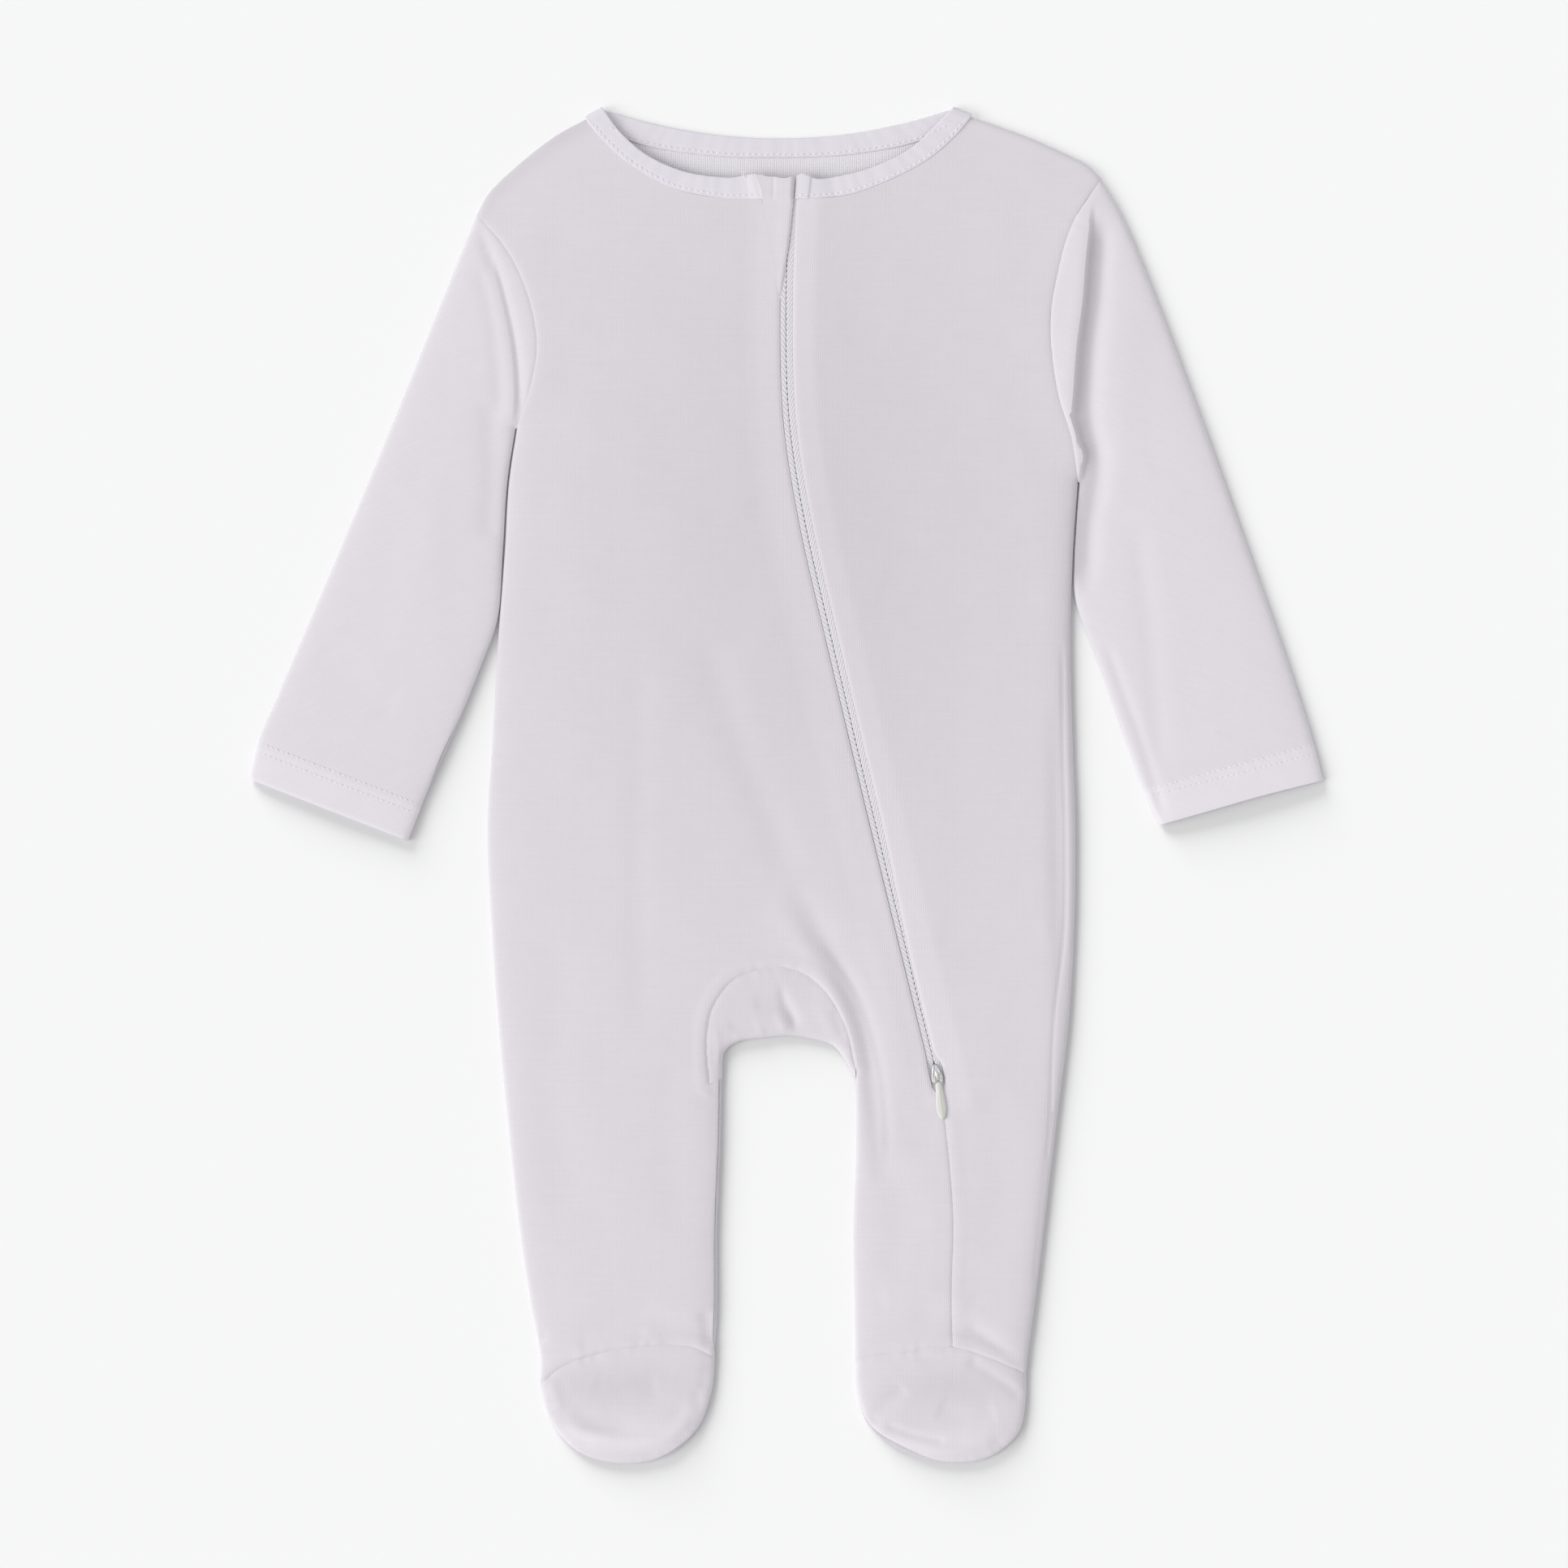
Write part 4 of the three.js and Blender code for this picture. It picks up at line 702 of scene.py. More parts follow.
SLEEVE_R_RELIEF = [  # crease, points, half width, rise; or ledge, points, height, width, reach
    ("crease", SLEEVE_R_FOLD, 2.4, -0.7),
    ("ledge", [(-121.5, 218), (-116.4, 200), (-112.4, 180), (-111.2, 162), (-112, 146)], -0.5, 0.5, 3.5),
    ("crease", [(-127, 215), (-122, 196), (-119, 173), (-118, 150)], 3, -0.4),
    ("crease", [(-122, 160), (-121, 130), (-123, 100)], 4.5, -0.6),
    ("crease", [(-150, 130), (-146, 90), (-150, 50)], 12, 0.3),
    ("crease", [(-190, 60), (-176, 40), (-160, 30)], 9, -0.25),
]
SLEEVE_L_RELIEF = [
    ("ledge", [(120.2, 121), (121.6, 127.9), (122.9, 135), (120.2, 144), (118.2, 150), (118.9, 162.8),
               (120.2, 180.5), (122.6, 198.6), (123.9, 214.7), (126.6, 241)], 1.7, 0.3, 6.0),
    ("crease", SLEEVE_L_PLEAT, 4.6, -2.3),
    ("crease", [(140, 200), (138, 160), (136, 110)], 8, 0.4),
    ("crease", [(144, 108), (148.4, 72.7), (151.7, 39.2), (154.4, 4)], 4.5, -0.4),
    ("crease", [(131, 60), (139, 38), (147, 16), (156.5, -16)], 2.0, -0.55),
]
CUFF_STITCH_DEPTHS = (15.6, 12.3)
CUFF_HEM = (14.6, 16.2)


def edge_drop(distance, share=TOP_EDGE_SHARE):
    """How far a face curves in towards the other one, near a folded edge."""
    short = np.maximum(0, EDGE_RADIUS - distance)
    return share * (EDGE_RADIUS - np.sqrt(EDGE_RADIUS**2 - short**2))


def low_edge_drop(distance):
    return edge_drop(distance, LOW_EDGE_SHARE)


def lower_lip(distance):
    """How far the cloth's inner face comes down near a folded edge."""
    return 0.55 * np.exp(-distance / 1.2)


def half_slit(side, y):
    """Distance from the closure line to a cloth edge; side is -1 towards the wearer's right."""
    wide = smoothstep(*LEFT_NARROWS, y)
    beside = np.where(side > 0, HALF_SLIT_LOW_LEFT + (HALF_SLIT - HALF_SLIT_LOW_LEFT) * wide, HALF_SLIT)
    at_slider = np.exp(-(((y - SLIDER_Y) / SLIDER_REACH) ** 4))
    return beside + (HALF_SLIT_AT_SLIDER - beside) * at_slider


def with_zip(y):
    """1 along the zip and 0 below its closed end."""
    return smoothstep(ZIP_CLOSES_Y - 3, ZIP_CLOSES_Y + 3, y)


def slit_rounding(points):
    """The cloth is turned under beside the zip, so its edge there is round."""
    distance, side, _ = near(EDGE["closure"], points)
    from_edge = np.maximum(0, distance - half_slit(side, points[:, 1]))
    return 0.36 * bell(from_edge / 0.7) * with_zip(points[:, 1])


def eased_ridge(points):
    """Towards the wearer's left the ridge over the zip falls slowly."""
    across, side, up, narrow = zip_ridge_shares(points)
    return ZIP_RIDGE * up * (1 - smoothstep(3, 44, across) - narrow) * (side > 0)


def unevenness(points):
    return 0.16 * ripple(points, 46, 3) + 0.07 * ripple(points, 17, 5) + 0.02 * ripple(points, 6, 8)


def front_relief(points):
    relief = eased_ridge(points) + unevenness(points) + creases(points, FRONT_CREASES)
    for key, seed in (("gusset", 2), ("ankle_r", 4), ("ankle_l", 5)):
        relief += seam(points, EDGE[key], band=0.3, seed=seed)
    for key, seed in (("armhole_r", 6), ("armhole_l", 7)):
        relief += seam(points, EDGE[key], depth=0.4, seed=seed, pucker=0.06)
    relief += crease(points, SIDE_SEAM_L, 0.7, -0.45, taper=0.05)
    relief += ledge(points, FRONT_LEDGE, 0.4, 0.7, 5.0)
    below = EDGE["closure"][EDGE["closure"][:, 1] < ZIP_CLOSES_Y + 2]
    return relief + seam(points, below, depth=0.45, half=0.6, band=0.12, seed=9, pucker=0.06, wave=10)


# Painted shade along edges that face away from the light, and one painted lighter strip on shoulder_l: line, width
# of the strip, change of tone
DARK_EDGES = [("side_l", 6, -0.07), ("inner_r", 8, -0.02), ("shoulder_r", 5, -0.12), ("shoulder_l", 5, 0.05),
              ("side_r", 2.5, -0.06), ("inner_l", 2.5, -0.06)]
# Painted shade and painted light: the chest's darker middle, darker vamps and lighter toe rolls; centre, half
# widths, change of tone
CHEST_PAINTED_SHADE = (10, 110, 95, 150, -0.085)
FOOT_PAINTED_LIGHT_AND_SHADE = [(-67, -247, 26, 8, -0.08), (-66, -269, 24, 5, 0.1), (68, -249, 24, 9, -0.08), (62, -270, 22, 5, 0.07)]
CROTCH_FOLD = [(46, -158), (44, -128), (41, -106), (34, -84), (26, -71), (17, -60)]


def body_painted_shading_and_tone(points):
    """Slow changes of colour over the front: a lighter band beside the zip for the doubled cloth, partly painted
    light; painted shade on the darker middle, the vamps, the crotch fold and beside the zip; painted light on the
    toe rolls; painted shade and light along the edges.
    """
    x, y = points.T
    across, side, _ = near(EDGE["closure"], points)
    tone = np.zeros(len(points))
    # painted shade on the chest's middle and on the vamps, painted light on the toe rolls
    for centre_x, centre_y, half_x, half_y, change in [CHEST_PAINTED_SHADE] + FOOT_PAINTED_LIGHT_AND_SHADE:
        tone += change * np.exp(-(((x - centre_x) / half_x) ** 2) - ((y - centre_y) / half_y) ** 2)
    # painted shade on edges that face away from the light, and a painted lighter strip on the left shoulder
    for key, width, change in DARK_EDGES:
        tone += change * bell(near(EDGE[key], points)[0] / width)
    # lighter cloth beside the zip: doubled cloth, with painted light that grows towards the neck
    doubled = (1 - smoothstep(9.5, 14, across)) * smoothstep(ZIP_ENDS_Y - 3, ZIP_ENDS_Y + 3, y)
    right_share = 0.35 + 0.65 * smoothstep(10, 90, y)
    left_share = 0.9 + 0.4 * smoothstep(90, 200, y)
    tone += 0.05 * doubled * np.where(side < 0, right_share, left_share)
    # painted shade along the seam below the zip
    tone -= 0.1 * (1 - with_zip(y)) * (side > 0) * bell(across / 0.9)
    # painted shade along the crotch fold
    tone += crease(points, CROTCH_FOLD, 4.5, -0.05)
    # painted shade in a band to the right of the zip
    return tone - 0.02 * (side < 0) * bell((across - 14) / 3.5)


def sleeve_painted_shade_and_tone(points):
    """The cuffs are doubled, so they are lighter; painted shade darkens the left sleeve's pleat and the edges of
    both sleeves.
    """
    from_cuff = np.minimum(near(CUFF["r"], points)[0], near(CUFF["l"], points)[0])
    tone = 0.05 * (1 - smoothstep(14.5, 16.5, from_cuff)) + crease(points, SLEEVE_L_PLEAT, 4.2, -0.18)
    # painted shade along the right sleeve's outer edge and the left sleeve's inner edge
    for rows in (SLEEVE_R_OUTER, SLEEVE_L_INNER):
        tone -= 0.06 * bell(near(smooth(rows), points)[0] / 2.5)
    return tone


def front_faces(points, relief=front_relief):
    """Heights of the outer and the inner face of the front."""
    edge = fold_distance(points)
    under = front_under(points, edge)
    uneven = relief(points)
    top = under + WALL - edge_drop(edge) - slit_rounding(points) + uneven
    low = np.maximum(under - lower_lip(edge) + 0.8 * uneven, WALL - 0.05)
    return np.maximum(top, low + 0.3), low


def hidden_faces(points):
    """Heights of the inner and the outer face of the cloth that lies on the floor."""
    return np.full(len(points), WALL - 0.1), low_edge_drop(fold_distance(points))


def closure_edge(side):
    line = EDGE["closure"]
    y = line[:, 1]
    moved = offset(line, (side * half_slit(side, y) * with_zip(y))[:, None])
    top_y = NECK_RIGHT[-1][3]
    moved = moved[moved[:, 1] < top_y - 0.6]
    return np.vstack([[moved[0, 0], top_y], moved])


STEP = 1.6


def cloth_panel(name, outline, heights, material, step=None, lines=(), rings=EDGE_ROWS, tone=None):
    points, faces = flat_mesh(outline, step or STEP, rings, lines)
    vertices, polygons = closed_shell(points, faces, *heights(points))
    return mesh_object(name, vertices, polygons, material, tone=tone)


def pulled(line, centre, half, depth):
    """The line moved to the left of its run near a centre point; a negative depth moves it to the right."""
    away = np.hypot(*(line - centre).T)
    return offset(line, (depth * bell(away / half))[:, None])


def make_fronts():
    meets = int(np.argmin(np.abs(EDGE["ankle_l"][:, 0] - CLOSURE[-1][0])))
    zip_right, zip_left = closure_edge(-1), closure_edge(1)
    inner_r = EDGE["inner_r"][::-1]
    inner_r = inner_r - np.column_stack([1.3 * smoothstep(-236, -226, inner_r[:, 1]), np.zeros(len(inner_r))])
    right = joined(EDGE["neck_r"][::-1], EDGE["shoulder_r"], EDGE["armhole_r"], EDGE["side_r"], EDGE["ankle_r"],
                   inner_r, EDGE["gusset"], EDGE["inner_l"], EDGE["ankle_l"][:meets], zip_right[::-1])
    left = joined(zip_left, EDGE["ankle_l"][meets + 1:], EDGE["side_l"][::-1], EDGE["armhole_l"][::-1],
                  EDGE["shoulder_l"][::-1], EDGE["neck_l"])
    made = cloth_panel("front_right_cloth", right, front_faces, body_cloth, tone=body_painted_shading_and_tone)
    add_sheet(made, "front_right")
    made = cloth_panel("front_left_cloth", left, front_faces, body_cloth, lines=[smooth(SIDE_SEAM_L, 1.6)],
                       tone=body_painted_shading_and_tone)
    add_sheet(made, "front_left")


def make_back():
    outline = joined(EDGE["neck_b"][::-1], EDGE["shoulder_r"], EDGE["armhole_r"], EDGE["side_r"], EDGE["heel_r"],
                     EDGE["inner_r"][::-1], EDGE["gusset"], EDGE["inner_l"], EDGE["heel_l"], EDGE["side_l"][::-1],
                     EDGE["armhole_l"][::-1], EDGE["shoulder_l"][::-1])

    def heights(points):
        level, low = hidden_faces(points)
        return level + 0.08 * ripple(points, 30, 11), low

    made = cloth_panel("back_cloth", outline, heights, inner_cloth_painted_light, step=3.2)
    made.data.materials.append(body_cloth)
    for polygon in made.data.polygons:
        if polygon.normal.z < 0.3:
            polygon.material_index = 1
    add_sheet(made, "back_panel")


def make_feet():
    for side, name, rows in (("r", "right", FOOT_R_CREASES), ("l", "left", FOOT_L_CREASES)):
        ankle, toe, heel = EDGE[f"ankle_{side}"], EDGE[f"toe_{side}"], EDGE[f"heel_{side}"]

        def relief(points):
            total = 0.10 * ripple(points, 16, 21) + 0.04 * ripple(points, 7, 23) + creases(points, rows)
            total += seam(points, ankle, depth=0.4, seed=12)
            total += seam(points, toe, depth=0.0, pucker=0.12, wave=5.5, seed=13)
            return total

        upper_toe = toe
        for centre, half, depth in TOE_SLIVERS[side]:
            upper_toe = pulled(upper_toe, centre, half, depth)
        made = cloth_panel(f"foot_upper_{name}_cloth", joined(ankle, upper_toe[::-1]),
                           lambda points: front_faces(points, relief), body_cloth, step=1.2, tone=body_painted_shading_and_tone)
        add_sheet(made, f"foot_upper_{name}")
        made = cloth_panel(f"foot_sole_{name}_cloth", joined(heel, toe[::-1]), hidden_faces, body_cloth, step=2.4)
        add_sheet(made, f"foot_sole_{name}")


def make_gusset():
    sections = 90
    arch, fold = respaced(EDGE["gusset"], count=sections), respaced(EDGE["crotch"], count=sections)
    across = np.array([0, 0.05, 0.12, 0.2, 0.3, 0.4, 0.5, 0.6, 0.7, 0.8, 0.88, 0.94, 0.975, 1])
    grid = arch[:, None] + (fold - arch)[:, None] * across[None, :, None]
    flat = grid.reshape(-1, 2)
    edge = fold_distance(flat)
    relief = 0.06 * ripple(flat, 14, 31) + seam(flat, EDGE["gusset"], depth=0.4, pucker=0.14, wave=6, seed=2)
    relief += creases(flat, GUSSET_CREASES)
    top = front_under(flat, edge) + WALL - edge_drop(edge) + relief * smoothstep(0, 2, edge + 0.4)
    low = low_edge_drop(edge)
    size = len(across)
    top, low = top.reshape(sections, size), low.reshape(sections, size)
    rings = []
    for j in range(sections):
        depth = max(np.hypot(*(fold[j] - arch[j])), 1)
        shrunk = np.maximum(0, across - (WALL * across) / depth)
        inner = arch[j] + (fold[j] - arch[j]) * shrunk[:, None]
        outside_top = np.column_stack([grid[j], top[j]])
        outside_low = np.column_stack([grid[j], low[j]])[::-1]
        inside_low = np.column_stack([inner, np.full(size, WALL)])
        inside_top = np.column_stack([inner, np.maximum(WALL + 0.05, top[j] - WALL)])[::-1]
        rings.append(np.vstack([outside_top, outside_low, inside_low, inside_top]))
    vertices, faces = swept(rings)
    made = mesh_object("crotch_gusset_cloth", vertices, faces, body_cloth,
                       tone=lambda points: np.full(len(points), -0.03))
    fix_normals(made)
    add_sheet(made, "crotch_gusset")


# The ends of the binding rise beside the zip: length and height of the rise, and how its start slants
END_LENGTH = 7.2
END_RISE = 0.45
END_SLANT = 1.6
STITCH_LINE = 0.17
OVER_GUARD = [(-21, 250.3, -21.1, 241.3), (-16.6, 251.1, -16.9, 241.2), (-13.2, 251.6, -13, 241.1),
              (-11.2, 251, -9.4, 241)]
BESIDE_GUARD = [(9.1, 250.9, 9, 241.2), (6.6, 251.7, 6.2, 241.2), (4.2, 250.8, 3.5, 241.2)]


def binding_profile():
    """The binding's section, from its sewn edge to its free one and back: share across, share of height."""
    turn = np.linspace(0, math.pi / 2, 5)
    sewn_edge = [(0.06 * (1 - math.cos(a)), 0.5 + 0.5 * math.sin(a)) for a in turn]
    flat_part = [(u, 1.0) for u in np.linspace(0.12, 0.88, 9)]
    free_edge = [(1 - 0.06 * (1 - math.cos(a)), 0.5 + 0.5 * math.sin(a)) for a in np.linspace(math.pi / 2, 0, 5)]
    upper = sewn_edge + flat_part + free_edge
    return np.array(upper + [(u, 1 - v) for u, v in reversed(upper)])


def place_at(curve, share):
    """The point at a share of the way along an evenly spaced curve."""
    at = share * (len(curve) - 1)
    i = min(int(at), len(curve) - 2)
    return curve[i] + (curve[i + 1] - curve[i]) * (at - i)


def make_binding():
    """A doubled strip round the neck, folded over at both shoulders, with its two long edges rounded."""
    profile = binding_profile()
    upper_side = profile[:, 1] > 0.6
    dip = 0.28 * bell((profile[:, 0] - STITCH_LINE) / 0.05)
    groove = dip * (profile[:, 1] > 0.9)

    def across_points(curves, share):
        start, end = place_at(curves[1], share), place_at(curves[0], share)
        return start + (end - start) * profile[:, :1]

    def waviness(s):
        return 0.07 * math.sin(s * 0.9 + 1.3 * math.sin(s * 0.21)) + 0.05 * math.sin(s * 0.35)

    def front_ring(curves, share, length, ends_over):
        flat = across_points(curves, share)
        base = max(BINDING_FLOOR, float(front_under(flat[[len(flat) // 4]])[0]) + 0.25)
        end_at = END_LENGTH + END_SLANT * (profile[:, 0] - 0.8)
        base = base + END_RISE * smoothstep(1 - end_at / length, 1 - (end_at - ends_over) / length, share)
        height = base + FRONT_BINDING_WALL * profile[:, 1] + (waviness(share * length) - groove) * upper_side
        return np.column_stack([flat, height])

    def back_ring(curves, share, length):
        up = 1 - profile[:, 1]
        height = BINDING_WALL * up + (up > 0.6) * (waviness(share * length) - dip)
        return np.column_stack([across_points(curves, share), height])

    def fold(curves, share, outward, degrees):
        angle = math.radians(degrees)
        radius = 0.15 + BINDING_WALL * profile[:, 1]
        flat = across_points(curves, share) - np.outer(math.cos(angle) * radius, outward)
        return np.column_stack([flat, BINDING_FLOOR - 0.15 + math.sin(angle) * radius])

    right, back, left = ([respaced(smooth([row[part] for row in rows], 0.8), count=400)
                          for part in (slice(2), slice(2, 4))]
                         for rows in (NECK_RIGHT[:-1] + OVER_GUARD, NECK_BACK, NECK_LEFT[:-1] + BESIDE_GUARD))
    turns = np.linspace(108, 252, 11)
    front_shares = np.concatenate([np.linspace(0.025, 0.88, 62), np.linspace(0.89, 1, 28)])
    rings = [front_ring(right, s, line_length(right[1]), 4.0) for s in front_shares[::-1]]
    rings += [fold(right, 0.01, (-0.5, 0.86), d) for d in turns]
    rings += [back_ring(back, s, line_length(back[1])) for s in np.linspace(0.02, 0.98, 110)]
    rings += [fold(left, 0.01, (0.5, 0.86), d) for d in turns[::-1]]
    rings += [front_ring(left, s, line_length(left[1]), 0.8) for s in front_shares]
    vertices, faces = swept(rings)
    made = mesh_object("neck_binding_cloth", vertices, faces, binding_cloth, sharp=80)
    fix_normals(made)
    add_sheet(made, "neck_binding")
    return right, back, left


def stitch_row(name, path, pitch, length, radius=0.22, lean=0.0):
    """Short raised threads along a path of points, each sunk at its ends."""
    path = respaced(path, pitch)
    sides, spans = 6, 5
    vertices, faces = [], []
    for start, end in zip(path[:-1], path[1:]):
        along = (end - start) / max(np.linalg.norm(end - start), 1e-6)
        middle = (start + end) / 2
        across = np.array([-along[1], along[0], 0])
        along = along * math.cos(lean) + across * math.sin(lean)
        across = np.array([-along[1], along[0], 0])
        base = len(vertices)
        for k in range(spans):
            t = -1 + 2 * k / (spans - 1)
            thick = radius * max(0.25, math.sqrt(max(0, 1 - t * t * 0.9)))
            centre = middle + along * (t * length / 2) + np.array([0, 0, 0.2 * (1 - t * t) - 0.05])
            for i in range(sides):
                a = 2 * math.pi * i / sides
                vertices.append(centre + across * thick * math.cos(a) + np.array([0, 0, thick * math.sin(a)]))
        faces += ring_faces(sides, spans, base) + end_faces(sides, spans, base)
    made = mesh_object(name, np.array(vertices), faces, thread, sharp=80)
    fix_normals(made)
    added_detail(made)


def surface_height(made, points):
    """Height of a made piece's top at flat points, by rays from above."""
    heights = []
    for x, y in points:
        hit, place, _, _ = made.ray_cast(Vector((x * MM, y * MM, 0.05)), Vector((0, 0, -1)))
        heights.append(place.z / MM if hit else np.nan)
    heights = np.array(heights)
    good = ~np.isnan(heights)
    return np.interp(np.arange(len(heights)), np.flatnonzero(good), heights[good]) if good.any() else heights


def stitches_on(name, made, flat_path, pitch=2.5, length=1.7, lean=0.0, radius=0.22):
    flat_path = respaced(flat_path, 0.8)
    bpy.context.view_layer.update()
    path = np.column_stack([flat_path, surface_height(made, flat_path)])
    stitch_row(name, path, pitch, length, radius, lean)


def make_neck():
    right, back, left = make_binding()
    binding = bpy.data.objects["neck_binding_cloth"]
    for label, (free, sewn), low, high in (("right", right, 0.05, 0.985), ("back", back, 0.06, 0.94),
                                           ("left", left, 0.05, 0.985)):
        path = np.array([place_at(sewn, s) + (place_at(free, s) - place_at(sewn, s)) * STITCH_LINE
                         for s in np.linspace(low, high, 120)])
        stitches_on(f"neck_stitches_{label}", binding, path, length=1.5, radius=0.27)
    frayed = [tube_along([(-17.4, 249.6, 6.0), (-17.4 - reach, 251.2, 6.3), (-17.1 - 1.6 * reach, 252.6, 6.0)],
                         0.09, 6) for reach in (0.1, 0.5, 1.0)]
    added_detail(mesh_object("frayed_threads", *merged(frayed), thread))


def make_guard():
    free, sewn, top = (smooth(rows, 0.8) for rows in (GUARD_FREE, GUARD_TUCKED, GUARD_TOP))

    def heights(points):
        """The guard starts level with the front at its sewn edge and rises towards the free one."""
        held = np.column_stack([points[:, 0], np.minimum(points[:, 1], NECK_TOP_Y)])
        from_sewn, from_free = near(sewn, points)[0], near(free, points)[0]
        width = np.maximum(from_sewn + from_free, 0.1)
        full = 0.2 + 0.6 * (1 - np.exp(-width / 8))
        rise = 0.05 + full * smoothstep(0, 1, from_sewn / width)
        over_binding = 1.12 * smoothstep(NECK_TOP_Y - 2, NECK_TOP_Y + 2, points[:, 1])
        rise += over_binding * (1 - smoothstep(0.9, 1, from_sewn / width)) + 0.1 * ripple(points, 9, 61)
        rise -= 0.5 * bell(from_free / 0.5)
        rise += crease(points, [(-5.3, 252), (-5.4, 247), (-5.6, 240)], 0.5, -0.3, taper=0.2)
        level = front_under(held) + WALL
        return level + rise, level + np.minimum(0.3, rise - 0.1)

    # the guard takes the front's painted shading and tone, with a little more painted shade
    made = cloth_panel("zip_guard_cloth", joined(free, sewn, top), heights, body_cloth, step=0.7, rings=(0.3, 0.7),
                       tone=lambda points: body_painted_shading_and_tone(points) - 0.02)
    add_sheet(made, "zip_guard")


def make_tapes():
    """Each tape stands up between the cloth edges, meets the other one in a dashed line and runs under the cloth."""
    line = EDGE["closure"]
    line = respaced(line[line[:, 1] > ZIP_ENDS_Y], TAPE_STEP)
    normal = directions(line)[1]
    run = np.arange(len(line)) * TAPE_STEP
    from_slider = line[:, 1] - SLIDER_Y
    post = POST_HALF_WIDTH * np.exp(-((from_slider / POST_REACH) ** 4))
    clear_of_slider = 1 - np.exp(-((from_slider / CLEAR_OF_SLIDER) ** 4))
    dashes = CHAIN_DASH * np.maximum(0, np.sin(2 * math.pi * run / CHAIN_PERIOD)) ** 2
    bulge = TAPE_BULGE - TAPE_BULGE_FALL * (1 - smoothstep(-30, 110, line[:, 1]))
    for side, name, material in ((-1, "zip_tape_right", tape_r_cloth), (1, "zip_tape_left", tape_l_cloth)):
        start = 0.05 + post + dashes
        edge = half_slit(side, line[:, 1])
        sunk = TAPE_SUNK[side]
        middle = (start + 0.18 + edge - sunk - 0.1) / 2
        spread = np.column_stack([start, start + 0.08, start + 0.16, middle, edge - sunk, edge - 0.04, edge + 0.08,
                                  edge + 0.7, np.full(len(line), 7.0), np.full(len(line), TAPE_WIDTH)])
        raised = np.array([0.9, 0.97, 1, 1, 1, 0.55 if side < 0 else 0.95, 0, 0, 0, 0])
        flat = line[:, None] + normal[:, None] * (side * spread)[..., None]
        points = flat.reshape(-1, 2)
        under = front_under(points).reshape(spread.shape) - TAPE_CLEARANCE
        uneven = unevenness(points).reshape(spread.shape)
        top = under + (bulge * clear_of_slider)[:, None] * raised + uneven * (raised > 0)
        low = under - TAPE_WALL
        rings = [np.vstack([np.column_stack([flat[j], top[j]]), np.column_stack([flat[j], low[j]])[::-1]])
                 for j in range(len(line))]
        vertices, faces = swept(rings)
        made = mesh_object(f"{name}_cloth", vertices, faces, material)
        fix_normals(made)
        weave = made.data.attributes.new("weave_at", "FLOAT_VECTOR", "POINT")
        values = np.zeros((len(line), 2 * spread.shape[1], 3))
        values[:, :, 0] = np.hstack([spread, spread[:, ::-1]]) * MM
        values[:, :, 1] = run[:, None] * MM
        weave.data.foreach_set("vector", values.ravel())
        add_sheet(made, name)


TOOTH = [(-0.5, -0.28), (1.7, -0.28), (1.7, 0.28), (-0.5, 0.28)]
TOOTH_HALF_HEIGHT = 0.38


def make_coil():
    """Interlocked nylon teeth on the hidden face of the tapes, under the line where those meet."""
    line = EDGE["closure"]
    line = respaced(line[(line[:, 1] > SLIDER_Y + 3) & (line[:, 1] < 246)], 1.1)
    level = front_under(line) - TAPE_CLEARANCE - TAPE_WALL - 0.5
    vertices, faces = [], []
    for k, (point, way, z) in enumerate(zip(line, directions(line)[0], level)):
        side = 1 if k % 2 else -1
        across = np.array([-way[1], way[0]]) * side
        base = len(vertices)
        for h in (-TOOTH_HALF_HEIGHT, TOOTH_HALF_HEIGHT):
            for u, v in TOOTH:
                flat = point + across * u + way * v
                vertices.append((flat[0], flat[1], z + h))
        faces += [(base + 3, base + 2, base + 1, base), (base + 4, base + 5, base + 6, base + 7)]
        faces += [(base + i, base + (i + 1) % 4, base + 4 + (i + 1) % 4, base + 4 + i) for i in range(4)]
    made = mesh_object("zip_coil", np.array(vertices), faces, nylon)
    fix_normals(made)
    added_detail(made)


